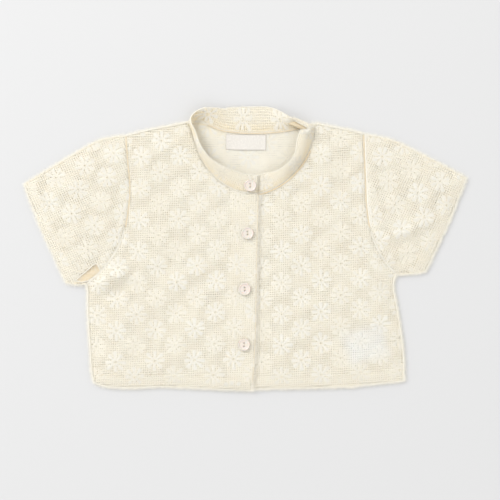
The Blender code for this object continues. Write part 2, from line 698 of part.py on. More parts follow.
def button_mesh(cutters):
    # A turned disc with a raised rim and a dished middle, with two holes one above the other
    profile = [
        (0.0, BUTTON_THICK - BUTTON_DISH),
        (BUTTON_RADIUS - BUTTON_RIM - BUTTON_SLOPE, BUTTON_THICK - BUTTON_DISH),
        (BUTTON_RADIUS - BUTTON_RIM, BUTTON_THICK),
        (BUTTON_RADIUS - BUTTON_ROUND, BUTTON_THICK),
        (BUTTON_RADIUS, BUTTON_THICK - BUTTON_ROUND),
        (BUTTON_RADIUS, BUTTON_ROUND),
        (BUTTON_RADIUS - BUTTON_ROUND, 0.0),
        (0.0, 0.0),
    ]
    mesh = bpy.data.meshes.new("button_profile")
    edges = [(i, i + 1) for i in range(len(profile) - 1)]
    mesh.from_pydata([(x * MM, 0, z * MM) for x, z in profile], edges, [])
    turned = bpy.data.objects.new("button_turned", mesh)
    cutters.objects.link(turned)
    screw = turned.modifiers.new("turn", "SCREW")
    screw.steps = screw.render_steps = 20
    screw.use_merge_vertices = True
    screw.merge_threshold = 0.00001
    for side in (-1, 1):
        drill = bmesh.new()
        bmesh.ops.create_cone(
            drill, cap_ends=True, segments=8, radius1=BUTTON_HOLE_RADIUS * MM,
            radius2=BUTTON_HOLE_RADIUS * MM, depth=3 * BUTTON_THICK * MM,
        )
        bmesh.ops.translate(drill, vec=(0, side * BUTTON_HOLE_SPACING / 2 * MM, 0), verts=drill.verts)
        hole_mesh = bpy.data.meshes.new("button_hole")
        drill.to_mesh(hole_mesh)
        drill.free()
        hole = bpy.data.objects.new("button_hole", hole_mesh)
        hole.hide_render = True
        hole.display_type = "WIRE"
        cutters.objects.link(hole)
        cut = turned.modifiers.new("hole", "BOOLEAN")
        cut.operation = "DIFFERENCE"
        cut.object = hole
    bpy.context.view_layer.update()
    graph = bpy.context.evaluated_depsgraph_get()
    finished = bpy.data.meshes.new_from_object(turned.evaluated_get(graph))
    bpy.data.objects.remove(turned)
    return finished


def build_buttons(collection, cutters):
    shape = button_mesh(cutters)
    for number, (x, y) in enumerate(BUTTON_PLACES, 1):
        name = f"button_{number}"
        button = add_object(name, shape.copy(), collection, PEARL, 0.3)
        lift = upper_low(x, min(y, LAP_EDGE[0][1])) + DOUBLED + SEAM_GAP
        if number == 1:
            lift += TOP_BUTTON_LIFT
        button.location = (x * MM, y * MM, lift * MM)


def main():
    for obj in list(bpy.data.objects):
        bpy.data.objects.remove(obj)
    collection = bpy.data.collections.new("lace_cardigan")
    cutters = bpy.data.collections.new("cutters")
    bpy.context.scene.collection.children.link(collection)
    bpy.context.scene.collection.children.link(cutters)
    build_back(collection)
    build_fronts(collection)
    build_sleeve(
        collection, "sleeve_right", ARMHOLE_RIGHT, CUFF_RIGHT,
        SLEEVE_TOP_RIGHT, SLEEVE_UNDER_RIGHT, SLEEVE_LACE_RIGHT,
    )
    build_sleeve(
        collection, "sleeve_left", ARMHOLE_LEFT, CUFF_LEFT,
        SLEEVE_TOP_LEFT, SLEEVE_UNDER_LEFT, SLEEVE_LACE_LEFT,
    )
    build_neckband(collection)
    build_label(collection, "neck_label", NECK_LABEL, WALL + SEAM_GAP)
    build_label(collection, "care_label", CARE_LABEL, WALL + SEAM_GAP)
    build_buttons(collection, cutters)


main()
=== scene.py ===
import json
import math

import bpy
import numpy as np
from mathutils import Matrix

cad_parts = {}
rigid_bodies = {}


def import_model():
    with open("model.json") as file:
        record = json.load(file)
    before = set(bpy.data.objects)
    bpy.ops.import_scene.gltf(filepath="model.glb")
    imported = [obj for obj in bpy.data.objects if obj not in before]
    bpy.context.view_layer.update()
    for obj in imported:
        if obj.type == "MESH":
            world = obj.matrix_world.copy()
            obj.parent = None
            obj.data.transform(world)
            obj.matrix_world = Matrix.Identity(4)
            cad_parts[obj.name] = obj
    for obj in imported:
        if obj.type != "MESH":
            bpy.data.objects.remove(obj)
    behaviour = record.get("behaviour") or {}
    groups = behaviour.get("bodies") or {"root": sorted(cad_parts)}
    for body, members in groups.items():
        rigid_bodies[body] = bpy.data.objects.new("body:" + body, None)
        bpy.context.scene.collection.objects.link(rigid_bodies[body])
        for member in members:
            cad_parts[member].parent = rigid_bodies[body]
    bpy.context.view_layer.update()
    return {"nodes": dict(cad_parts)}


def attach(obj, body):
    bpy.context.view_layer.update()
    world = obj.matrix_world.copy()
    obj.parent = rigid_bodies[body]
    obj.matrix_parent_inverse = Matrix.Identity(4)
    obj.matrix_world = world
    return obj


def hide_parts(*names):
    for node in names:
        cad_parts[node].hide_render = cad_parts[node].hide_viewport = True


# Lace cardigan of a small child, buttoned and laid flat on its back, seen from straight above.
# Plan sizes and heights are in millimetres here and become metres when a mesh is made.
# +X is the viewer's right, +Y is towards the neck, +Z is up from the floor.

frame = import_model()
mm = 0.001
chance = np.random.default_rng(11)
print("frame loaded with", len(frame["nodes"]), "solids")

# Outlines of the laid garment, as (x, y) points that a smooth line passes through
outline = {
    "sideRight": [
        (-152.9, -34.1), (-151.4, -42), (-151, -68.6), (-149.1, -97.4), (-147.6, -118.6),
        (-145.4, -128),
    ],
    "sideLeft": [
        (145.1, -24.5), (142.3, -36), (145.2, -54.2), (150, -83), (152.2, -104),
        (152.8, -127),
    ],
    "hemRight": [(-145.4, -128), (-140, -131.4), (-115.5, -133.9), (-77, -132.8), (-29.1, -135.2)],
    "hemLap": [(-29.1, -135.2), (-8, -136), (6.4, -136.3)],
    "hemLeft": [(6.4, -135.2), (33.3, -134.4), (95.7, -133), (119.7, -130.6), (152.8, -127)],
    "armholeRight": [
        (-152.9, -34.1), (-140.4, -23.5), (-130.8, -12), (-122.2, 1.4), (-116, 17.8),
        (-112.1, 38.9), (-110.9, 61), (-113.1, 85), (-114.9, 108.5),
    ],
    "armholeLeft": [
        (145.1, -24.5), (135.1, -13), (126.4, 1.4), (119.7, 19.7), (116.4, 41.8),
        (115.4, 65.8), (114.4, 89.8), (114, 109.9),
    ],
    "shoulderRight": [(-114.9, 108.5), (-91.5, 114.2), (-67.5, 119), (-56, 121.2)],
    "shoulderLeft": [(114, 109.9), (100.5, 113.8), (86.1, 116.6), (68, 120.4)],
    "sleeveTopRight": [
        (-114.9, 108.5), (-129.9, 106.6), (-146.2, 101.3), (-181.7, 80.6), (-212.6, 61.9),
    ],
    "sleeveTopLeft": [(114, 109.9), (129.3, 107), (146.6, 101.8), (186.9, 81.6), (212.6, 67.7)],
    "cuffRight": [(-212.6, 61.9), (-203.8, 37.9), (-193.7, 13), (-183.6, -8.2), (-172.5, -32.6)],
    "cuffLeft": [(212.6, 67.7), (204.2, 46.6), (194.6, 22.6), (185, 2.4), (173.5, -21.6)],
    "sleeveUnderRight": [(-152.9, -34.1), (-162.5, -34.6), (-172.5, -32.6)],
    "sleeveUnderLeft": [(145.1, -24.5), (160, -24.2), (173.5, -21.6)],
    "necklineBack": [
        (-56, 121.2), (-49, 122.3), (-42.5, 122), (-33, 118.4), (-21, 113.7),
        (0, 111.4), (22, 111.8), (37, 113.2), (50, 115.6), (60, 118.4), (68, 120.4),
    ],
    "necklineRight": [
        (11.7, 52.6), (-4, 54.5), (-18, 60.5), (-30.5, 70), (-40.5, 82),
        (-47, 96), (-51.5, 110), (-56, 121.2),
    ],
    "necklineLeft": [
        (-15, 51.2), (11, 52.8), (25, 57), (38, 64.5), (49, 75),
        (57, 86), (62.8, 98), (65.6, 109), (68, 120.4),
    ],
    "lapEdge": [(11.7, 52.6), (12.2, 46.6), (11.2, 8.2), (10.3, -39.8), (9.3, -87.8), (6.4, -136.3)],
}

# Folds of the upper cloth: from (x, y) to (x, y), half width, height above or below the plain cloth
folds = [
    (-196, 66, -188, 24, 7, -1.5),
    (-172, 88, -160, 30, 9, 0.8),
    (-150, -20, -128, 4, 7, -0.8),
    (-147, -37, -120, -25, 6.5, 4),
    (-142, -50, -114, -38, 6, -2.2),
    (-106, -96, -58, -46, 9, -0.9),
    (-84, -118, -44, -72, 9, 0.8),
    (-78, -70, -30, -24, 9, -0.7),
    (-98, -38, -52, 2, 9, -0.8),
    (-96, 92, -92, 30, 10, 0.7),
    (-62, 96, -70, 50, 9, -0.6),
    (95, 108, 94, 78, 8, -0.9),
    (76, 112, 78, 58, 8, 0.8),
    (60, 40, 112, 10, 12, 0.7),
    (40, -70, 96, -40, 11, 0.6),
    (138, 10, 182, 27, 5, 2),
    (140, 0, 186, 17, 6, -1.1),
    (118, -30, 140, -36, 7, 1.6),
    (146, -60, 150, -118, 4, 1),
    (104, -86, 128, -92, 17, -0.2),
    (148, -12, 174, -8, 5, -1.2),
    (-128, -112, -96, -78, 6, 0.5),
    (-120, -70, -92, -50, 5, 0.5),
    (-60, -96, -34, -60, 5, -0.5),
    (-100, 10, -66, 34, 6, 0.5),
    (-70, -6, -40, 20, 5, -0.4),
    (-186, 58, -176, 4, 4, 0.6),
    (-150, 92, -143, 52, 4, -0.5),
    (-140, 40, -132, 4, 5, 0.4),
    (30, 20, 70, -8, 7, -0.4),
    (50, -100, 92, -84, 7, -0.5),
    (104, 60, 108, 24, 5, -0.5),
    (128, 84, 120, 46, 5, 0.5),
    (160, 84, 150, 44, 6, -0.5),
    (120, -54, 136, -78, 5, -0.5),
]

cloth = {
    "wall": 1.2, "doubled": 1.8, "seamGap": 0.3,
    "puff": 2.2, "puffReach": 15.0,  # how far the upper layer stands off, and over what distance
    "hem": 11.5, "placket": 24.5, "cuff": 11.5, "fade": 1.4,
    "lapMargin": 3.0, "lapRun": 18.0,
    "armholeDip": 1.1, "armholeReach": 2.6,  # the cloth dips into the armhole seams
    "underarmDip": 1.5, "underarmReach": 15.0, "dipShare": 0.9,
    "settle": 0.72, "settleReach": 5.2, "settleBase": 0.9,  # how far the cloth sinks at its edges
    "sleeveFold": 2.4,  # how far in the quarter circle of a sleeve's fold reaches
    "facingDrop": 0.75, "edgeDrop": 0.5,  # how far a turned-in layer lies below, and its share at an edge
    "along": 1.5,  # spacing of places where a line on the cloth reads its height
}

# Net lace: a daisy every 9 cells across and 14 down, each second column half a repeat lower
lace = {
    "column": 18.9, "repeat": 30.2, "cellsAcross": 9, "cellsDown": 14,
    "holeAcross": 0.28, "holeDown": 0.088,  # half a hole, as a share of a cell
    "acrossSpread": (0.8, 1.15), "downSpread": (0.8, 1.3), "crownSpread": (0.8, 1.2),
    "underDaisy": 0.5,  # share left of a hole under a daisy
    "underside": 0.8,  # and of a hole on the lower side of a sleeve
    "eyeHole": 0.16,  # half the hole in a daisy's eye
    # share of a hole that fibres leave, and a matted patch's size
    "matted": 0.18, "matting": 17.0, "mattingSeed": 5,
    # share of a hole left in doubled lace, and more beside it
    "doubledOpen": 0.12, "doubledRow": 0.9, "doubledRowReach": 0.3,
    "crown": 0.24, "rim": 0.14,  # half thickness where threads cross, and at the edge
    "unevenness": 0.1, "ripple": 0.04,  # how far crossings stray, sideways and in height
}

daisy = {
    "petals": 8, "root": 2.6, "tip": 10.5, "fullness": 2.6,
    "rise": 0.36, "bed": 0.16,  # height of a petal's middle and of its edge on the net
    "crease": 0.3, "creaseWidth": 0.3,  # how far the middle of a petal is pressed in
    "rootWidth": 0.25, "roundFrom": 0.7, "archPower": 2.4, "rootArch": 0.45,
    "tilt": 0.055, "reach": (0.86, 1.06), "breadth": (0.82, 1.08), "faint": 0.4,  # how petals vary
    "trials": 9, "shortest": 3,  # places tried along a petal, and the fewest that make one
    "ring": ((3.3, 0.16), (2.72, 0.43), (1.85, 0.06)), "ringSides": 14,  # radius and height of its circles
    "coverMargin": 0.5,  # the net under a daisy is closer up to here inside its tips
    "margin": 0.9, "hemMargin": 4.0,  # petals end this far from an edge, and from a hem or cuff
}


def smoothLine(points, spacing=3.0):
    # Catmull-Rom line: half of 2b + (c-a)t + (2a-5b+4c-d)t^2 + (3b-a-3c+d)t^3 between b and c
    given = np.array(points, float)
    ends = np.vstack([given[:1], given, given[-1:]])
    found = [given[:1]]
    for a, b, c, d in zip(ends, ends[1:], ends[2:], ends[3:]):
        count = max(1, round(float(np.linalg.norm((c - b)[:2])) / spacing))
        t = (np.arange(count) + 1)[:, None] / count
        bend = (2 * a - 5 * b + 4 * c - d) * t**2 + (3 * b - a - 3 * c + d) * t**3
        found.append(0.5 * (2 * b + (c - a) * t + bend))
    return np.vstack(found)


def closedLoop(*lines):
    # One outline from lines that follow each other, with repeated points left out
    whole = np.vstack(lines)
    step = np.linalg.norm(np.diff(whole, axis=0), axis=1)
    whole = whole[np.concatenate([[True], step > 1e-6])]
    return whole if np.allclose(whole[0], whole[-1]) else np.vstack([whole, whole[:1]])


def nearestOn(line, points):
    # Distance from each point to the nearest stretch of a line, and the foot on it
    start, step = line[:-1], np.diff(line, axis=0)
    long = (step**2).sum(axis=1)
    distance, foot = np.empty(len(points)), np.empty((len(points), 2))
    atOnce = 2500  # points for each array, to save memory
    for part in np.array_split(np.arange(len(points)), len(points) // atOnce + 1):
        away = points[part][:, None, :] - start
        share = np.clip((away * step).sum(axis=2) / long, 0, 1)
        near = start + share[..., None] * step
        gap = ((points[part][:, None, :] - near) ** 2).sum(axis=2)
        pick = gap.argmin(axis=1)
        rows = np.arange(len(part))
        distance[part], foot[part] = np.sqrt(gap[rows, pick]), near[rows, pick]
    return distance, foot


def insideLoop(loop, points):
    # Even-odd rule: an odd number of the outline's sides lies to the right of a point inside
    x, y = points[:, 0], points[:, 1]
    odd = np.zeros(len(points), bool)
    for (ax, ay), (bx, by) in zip(loop[:-1], loop[1:]):
        if ay != by:
            odd ^= ((ay > y) != (by > y)) & (x < ax + (y - ay) * (bx - ax) / (by - ay))
    return odd


def loopArea(loop, signed=False):
    # Shoelace formula, in square metres; with its sign it is above 0 where the loop runs anticlockwise
    x, y = loop[:, 0], loop[:, 1]
    area = float((x[:-1] * y[1:] - x[1:] * y[:-1]).sum() / 2 * mm**2)
    return area if signed else abs(area)


def stepUp(value, low, high):
    # 0 below low, 1 above high, 3t^2 - 2t^3 between
    t = np.clip((value - low) / (high - low), 0, 1)
    return t * t * (3 - 2 * t)


def patchy(x, y, size, seed):
    # Mean of six waves in fixed random directions, 0.7 to 2 times a size long, spread to run from 0 to 1
    waves = np.random.default_rng(seed)
    total = np.zeros(np.shape(x))
    for _ in range(6):
        turn, phase = waves.uniform(0, 2 * math.pi, 2)
        rate = 2 * math.pi / (size * waves.uniform(0.7, 2.0))
        total = total + np.sin(rate * (x * math.cos(turn) + y * math.sin(turn)) + phase)
    return stepUp(total / 6, -0.4, 0.4)


def pairs(x, y):
    # Two arrays of any shape as rows of (x, y)
    return np.column_stack([np.ravel(x), np.ravel(y)])


def loopOf(names):
    # One outline from lines that follow each other; a line whose name has a minus runs backwards
    return closedLoop(*(line[name[1:]][::-1] if name[0] == "-" else line[name] for name in names.split()))


line = {name: smoothLine(points) for name, points in outline.items()}
line["hemRightWhole"] = np.vstack([line["hemRight"], line["hemLap"][1:]])
hemRight = line["hemRightWhole"]
lapUnder = line["lapEdge"] + (-cloth["placket"], 1.0)
line["lapUnder"] = np.vstack([lapUnder[:0:-1], line["necklineLeft"][:1]])

silhouette = loopOf(
    "-hemRight -sideRight sleeveUnderRight -cuffRight -sleeveTopRight shoulderRight necklineBack "
    "-shoulderLeft sleeveTopLeft cuffLeft -sleeveUnderLeft sideLeft -hemLeft -hemLap"
)
backLoop = loopOf(
    "-hemRight -sideRight armholeRight shoulderRight necklineBack -shoulderLeft -armholeLeft sideLeft "
    "-hemLeft -hemLap"
)
rightLoop = loopOf("-hemRightWhole -sideRight armholeRight shoulderRight -necklineRight lapEdge")
leftLoop = loopOf("necklineLeft -shoulderLeft -armholeLeft sideLeft -hemLeft lapUnder")
sleeveLoop = {
    side: loopOf(f"armhole{side} sleeveTop{side} cuff{side} -sleeveUnder{side}") for side in ("Right", "Left")
}

# Distance to the outline on a raster, which is read between its points
raster = {"low": (-222.0, -146.0), "step": 1.5, "size": (297, 195)}
rasterLines = [low + raster["step"] * np.arange(count) for low, count in zip(raster["low"], raster["size"])]
gridX, gridY = np.meshgrid(*rasterLines, indexing="ij")
edgeMap = nearestOn(silhouette, pairs(gridX, gridY))[0].reshape(gridX.shape)
edgeMap[~insideLoop(silhouette, pairs(gridX, gridY)).reshape(gridX.shape)] = 0.0


def bell(distance, reach):
    # exp(-(distance / reach)^2)
    return np.exp(-((distance / reach) ** 2))


def gapTo(path, x, y):
    # Distance to a line
    return nearestOn(path, pairs(x, y))[0].reshape(np.shape(x))


def nearOutline(x, y, reach):
    # Bell of the distance to the outline, which is read bilinearly from the raster
    column, row = (
        np.clip((value - low) / raster["step"], 0, count - 1.001)  # so that each place has a next one
        for value, low, count in zip((x, y), raster["low"], raster["size"])
    )
    i, j = column.astype(int), row.astype(int)
    s, t = column - i, row - j
    low = edgeMap[i, j] * (1 - s) + edgeMap[i + 1, j] * s
    high = edgeMap[i, j + 1] * (1 - s) + edgeMap[i + 1, j + 1] * s
    return bell(low * (1 - t) + high * t, reach)


def foldHeight(x, y):
    # Sum of height * exp(-(across^2 + beyond^2) / halfWidth^2) over the folds
    total = np.zeros_like(x)
    for x0, y0, x1, y1, halfWidth, height in folds:
        long = math.hypot(x1 - x0, y1 - y0)
        ux, uy = (x1 - x0) / long, (y1 - y0) / long
        along = (x - x0) * ux + (y - y0) * uy
        beyond = np.maximum(0, np.maximum(-along, along - long))
        across = (x - x0) * uy - (y - y0) * ux
        total += height * np.exp(-(across**2 + beyond**2) / halfWidth**2)
    return total


def puff(x, y):
    # (1 - bell of the distance to the outline) * (puff + folds), never below 0
    return np.maximum(0, (1 - nearOutline(x, y, cloth["puffReach"])) * (cloth["puff"] + foldHeight(x, y)))


def lapX(y):
    # x of the lapped edge at a height up the garment
    return np.interp(y, line["lapEdge"][::-1, 1], line["lapEdge"][::-1, 0])


def beyondLap(x, y):
    # 0 up to a margin past the lapped edge, rising to 1 over the run
    return stepUp(x, lapX(y) + cloth["lapMargin"], lapX(y) + cloth["lapMargin"] + cloth["lapRun"])


def upperLow(x, y):
    # Underside of the front that lies on top
    flatFrom = lapX(y) - cloth["placket"] - cloth["lapMargin"]
    cover = stepUp(x, flatFrom - cloth["lapRun"], flatFrom) * (1 - beyondLap(x, y))
    lifted = (cloth["doubled"] + cloth["seamGap"]) * cover
    return cloth["wall"] + cloth["seamGap"] + np.maximum(puff(x, y), lifted)


def underLow(x, y):
    # Underside of the front that lies below
    return cloth["wall"] + cloth["seamGap"] + puff(x, y) * beyondLap(x, y)


def armholeDip(x, y):
    # A groove along each armhole seam, deeper near the underarm, and never deeper than the cloth stands
    deepest = 0.0
    for name in ("armholeRight", "armholeLeft"):
        corner = np.hypot(x - line[name][0, 0], y - line[name][0, 1])
        depth = cloth["armholeDip"] + cloth["underarmDip"] * bell(corner, cloth["underarmReach"])
        deepest = np.maximum(deepest, depth * bell(gapTo(line[name], x, y), cloth["armholeReach"]))
    return np.minimum(deepest, cloth["dipShare"] * puff(x, y))


def doubledAt(hem, x, y):
    # 1 within the width of a hem, falling to 0 over the fade
    return 1 - stepUp(gapTo(hem, x, y), cloth["hem"], cloth["hem"] + cloth["fade"])


def rightDoubled(x, y):
    # 1 in the hem and beside the lapped edge, falling to 0 over the fade
    inner = lapX(y) - cloth["placket"]
    return np.maximum(doubledAt(hemRight, x, y), stepUp(x, inner - cloth["fade"], inner))


def leftDoubled(x, y):
    # The same for the left front, which ends under the lap
    inner = lapX(y) + cloth["lapMargin"]
    return np.maximum(doubledAt(line["hemLeft"], x, y), 1 - stepUp(x, inner, inner + cloth["fade"]))


def settled(x, y, height):
    # base + (height - base) * (1 - settle * bell of the distance to the outline)
    fall = cloth["settle"] * nearOutline(x, y, cloth["settleReach"])
    return cloth["settleBase"] + (height - cloth["settleBase"]) * (1 - fall)


def rightMiddle(x, y):
    # Middle of the outer layer of lace: its underside and half a wall, and half as much again where doubled
    return settled(x, y, upperLow(x, y) + cloth["wall"] / 2 * (1 + rightDoubled(x, y)) - armholeDip(x, y))


def leftMiddle(x, y):
    # The same on the left front's own underside
    return settled(x, y, underLow(x, y) + cloth["wall"] / 2 * (1 + leftDoubled(x, y)) - armholeDip(x, y))


def backMiddle(x, y):
    # The back lies flat on the floor
    return np.full(np.shape(x), cloth["wall"] / 2)


halfLayers = (cloth["seamGap"] + cloth["wall"]) / 2  # from the middle of a flattened sleeve to a layer's


def sleeveRound(side, x, y):
    # 0 at the folds of the flattened tube, rising to 1 as a quarter circle
    gap = np.minimum(gapTo(line["sleeveTop" + side], x, y), gapTo(line["sleeveUnder" + side], x, y))
    return np.sqrt(1 - (1 - np.minimum(1, gap / cloth["sleeveFold"])) ** 2)


def cuffDoubled(side):
    # A cuff is turned up by as much as a hem
    return lambda x, y: doubledAt(line["cuff" + side], x, y)


def sleeveUpper(side):
    # Middle of the upper layer: half the layers' distance, the puff and half a wall, within the section
    def middle(x, y):
        high = halfLayers + puff(x, y) + cloth["wall"] / 2 * cuffDoubled(side)(x, y)
        high = (high - armholeDip(x, y)) * sleeveRound(side, x, y)
        return settled(x, y, cloth["wall"] + cloth["seamGap"] / 2 + high)
    return middle


def sleeveLower(side):
    # Middle of the lower layer, which curves up to meet the upper one at the folds
    def middle(x, y):
        return cloth["wall"] + cloth["seamGap"] / 2 - halfLayers * sleeveRound(side, x, y)
    return middle


def meshPiece(name, points, quads, look, slot, uv=None, paintedLightAndTone=None):
    # A mesh from whole arrays of points in millimetres and faces of four corners
    # the mark at each point moves its colour towards the yarn's warmer one, for painted shade and random
    # tone, and below 0 away from it, for painted light
    mesh = bpy.data.meshes.new(name)
    mesh.vertices.add(len(points))
    mesh.vertices.foreach_set("co", (np.asarray(points, float) * mm).ravel())
    mesh.loops.add(quads.size)
    mesh.loops.foreach_set("vertex_index", np.ascontiguousarray(quads, np.int32).ravel())
    mesh.polygons.add(len(quads))
    mesh.polygons.foreach_set("loop_start", np.arange(0, quads.size, 4, dtype=np.int32))
    mesh.polygons.foreach_set("use_smooth", np.ones(len(quads), bool))
    mesh.update(calc_edges=True)
    if uv is not None:
        layer = mesh.uv_layers.new(name="stitches")
        layer.data.foreach_set("uv", np.asarray(uv, float)[quads.ravel()].ravel())
    if paintedLightAndTone is not None:
        mark = mesh.attributes.new("paintedLightAndTone", "FLOAT", "POINT")
        mark.data.foreach_set("value", np.asarray(paintedLightAndTone, float))
    mesh.validate()
    mesh.materials.append(look)
    piece = bpy.data.objects.new(name, mesh)
    bpy.context.scene.collection.objects.link(piece)
    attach(piece, "root")
    return piece


def gridQuads(rows, columns, wrap=False):
    # Faces of a grid of points, row by row; wrap closes each row on itself
    i, j = np.meshgrid(np.arange(rows - 1), np.arange(columns if wrap else columns - 1), indexing="ij")
    i, j = i.ravel(), j.ravel()
    k = (j + 1) % columns
    return np.column_stack([i * columns + j, i * columns + k, (i + 1) * columns + k, (i + 1) * columns + j])


def latticeOf(anchor, across, down):
    # Half-drop lattice of daisies: a place, the step to the next column and the step down a column
    return {
        "anchor": np.array(anchor, float),
        "across": np.array(across, float) * lace["column"],
        "down": np.array(down, float) * lace["repeat"],
    }


latticeRight = latticeOf((-63.9, 28.5), (1.0, 0.026), (-0.03, -1.0))
latticeLeft = latticeOf((34.9, -2.4), (1.0, 0.058), (0.0, -1.0))
latticeBack = latticeOf((-54.0, 12.0), (1.0, 0.0), (0.0, -1.0))
latticeSleeve = {
    "Right": latticeOf((-160.4, 56.6), (0.41, -0.91), (-0.92, -0.39)),
    "Left": latticeOf((165.5, 53.3), (-0.41, -0.91), (0.92, -0.39)),
}

# Gap at the wearer's right underarm, where the upper layer of the sleeve is open beside its seam
underarmGap = smoothLine([
    (-163.5, -30.8), (-157.5, -25.6), (-150.0, -19.4), (-144.2, -14.6), (-141.2, -17.0),
    (-139.4, -21.8), (-144.0, -25.9), (-150.6, -30.6), (-157.5, -32.3), (-163.5, -30.8),
], 1.5)


def netOver(loop, lattice, shift=0.0, gaps=False):
    # Cells of the net whose middle lies inside an outline; corners on its rim are moved onto the outline.
    # A net that is shifted by a share of a cell belongs to a turned-in layer, which has no daisies.
    cellsAcross, cellsDown = lace["cellsAcross"], lace["cellsDown"]
    across, down = lattice["across"] / cellsAcross, lattice["down"] / cellsDown
    anchor = lattice["anchor"] + shift * (across + down)

    def placesAt(i, j):
        # anchor + i * across + j * down
        return anchor + i.reshape(-1, 1) * across + j.reshape(-1, 1) * down

    steps = (loop - anchor) @ np.linalg.inv(np.array([across, down]))
    low, high = np.floor(steps.min(axis=0)).astype(int) - 1, np.ceil(steps.max(axis=0)).astype(int) + 1
    rows, columns = high - low + 1
    i, j = np.meshgrid(low[0] + np.arange(rows), low[1] + np.arange(columns), indexing="ij")
    middles = placesAt(i, j)
    kept = insideLoop(loop, middles)
    if gaps:
        kept &= ~insideLoop(underarmGap, middles)
    between = (start - 0.5 + np.arange(count + 1) for start, count in zip(low, (rows, columns)))
    nodes = placesAt(*np.meshgrid(*between, indexing="ij"))
    nodes = nodes + chance.normal(0, lace["unevenness"], nodes.shape)
    cells = gridQuads(rows + 1, columns + 1)[kept][:, [0, 3, 2, 1]]
    used, cells, uses = np.unique(cells, return_inverse=True, return_counts=True)
    nodes, cells, rim = nodes[used], cells.reshape(-1, 4), uses < 4
    gap, foot = nearestOn(loop, nodes[rim])
    if gaps:
        nearer, ringFoot = nearestOn(underarmGap, nodes[rim])
        foot[nearer < gap] = ringFoot[nearer < gap]
    nodes[rim] = foot
    i, j = i.ravel()[kept], j.ravel()[kept]
    column, half = np.round(i / cellsAcross).astype(int), cellsDown // 2
    fromEye = np.hypot(
        (i - column * cellsAcross) * lace["column"] / cellsAcross,
        ((j - column % 2 * half + half) % cellsDown - half) * lace["repeat"] / cellsDown,
    )
    eye = (fromEye == 0) & (shift == 0)
    covered = (fromEye < daisy["tip"] - daisy["coverMargin"]) & (shift == 0)
    return nodes, cells, rim, eye, np.where(covered, lace["underDaisy"], 1.0)


def netFaces(nodes, normals, cells, rim, eye, closed=True, doubled=0.0, share=1.0):
    # Each cell is four strips that slope from the crossings of its threads down to the edge of a hole.
    # A crossing stands a crown above and below the cloth's middle; a hole's corners lie in the middle.
    # A closed net has its strips above and below, and a low wall along its rim.
    crown = lace["crown"] * chance.uniform(*lace["crownSpread"], len(nodes))
    crown = np.where(rim, lace["rim"], crown)[:, None]
    corners = nodes[cells]
    x, y = corners.mean(axis=1)[:, :2].T
    openness = lace["matted"] + (1 - lace["matted"]) * patchy(x, y, lace["matting"], lace["mattingSeed"])
    beside = lace["doubledRow"] * bell(doubled - 0.5, lace["doubledRowReach"])
    openness = (openness * (1 - (1 - lace["doubledOpen"]) * doubled) + beside) * share
    wide = np.where(eye, lace["eyeHole"], lace["holeAcross"] * np.sqrt(openness))
    tall = np.where(eye, lace["eyeHole"], lace["holeDown"] * openness)
    wide = wide * chance.uniform(*lace["acrossSpread"], len(cells))
    tall = tall * chance.uniform(*lace["downSpread"], len(cells))
    holes = []
    for sx, sy in ((-1, -1), (1, -1), (1, 1), (-1, 1)):
        s, t = (0.5 + sx * wide)[:, None], (0.5 + sy * tall)[:, None]
        near = corners[:, 0] * (1 - s) + corners[:, 1] * s
        far = corners[:, 3] * (1 - s) + corners[:, 2] * s
        holes.append(near * (1 - t) + far * t)
    n, m = len(nodes), len(cells)
    points = [nodes + normals * crown] + holes
    hole = [n + k * m + np.arange(m) for k in range(4)]
    strips = [np.column_stack([cells[:, k], cells[:, k - 3], hole[k - 3], hole[k]]) for k in range(4)]
    faces = [np.vstack(strips)]
    if closed:
        points.append(nodes - normals * crown)
        swap = np.arange(n + 4 * m)
        swap[:n] += n + 4 * m
        faces.append(swap[faces[0]][:, ::-1])
        sides = np.vstack([cells[:, (k, k - 3)] for k in range(4)])
        _, first, uses = np.unique(np.sort(sides, axis=1), axis=0, return_index=True, return_counts=True)
        a, b = sides[first[uses == 1]].T
        faces.append(np.column_stack([b, a, swap[a], swap[b]]))
    quads = np.vstack(faces)
    facing = np.cross(corners[:, 1] - corners[:, 0], corners[:, 3] - corners[:, 0]) * normals[cells[:, 0]]
    return np.vstack(points), quads[:, ::-1] if facing.sum() < 0 else quads


def lacePanel(
    name, loop, lattice, middle, look, shift=0.0, closed=True, doubled=None, gaps=False, share=1.0, toneAndPaintedLight=None,
):
    # A net over an outline, its nodes at the cloth's middle and straying a little, as one piece
    nodes, cells, rim, eye, ground = netOver(loop, lattice, shift, gaps)
    dense = doubled(*nodes[cells].mean(axis=1).T) if doubled else 0.0
    height = middle(*nodes.T) + np.where(rim, 0.0, chance.normal(0, lace["ripple"], len(nodes)))
    nodes = np.column_stack([nodes, height])
    normals = np.tile([0.0, 0.0, 1.0], (len(nodes), 1))
    points, quads = netFaces(nodes, normals, cells, rim, eye, closed, dense, share * ground)
    print(name, len(cells), "cells", 2 * len(quads), "triangles")
    # painted shade and painted light on the net, where a function for them is given
    return meshPiece(name, points, quads, look, "lace", paintedLightAndTone=toneAndPaintedLight(points) if toneAndPaintedLight else None)


petalAlong = np.array([0.0, 0.28, 0.56, 0.8, 0.93, 1.0])
petalAcross = np.linspace(-1, 1, 5)


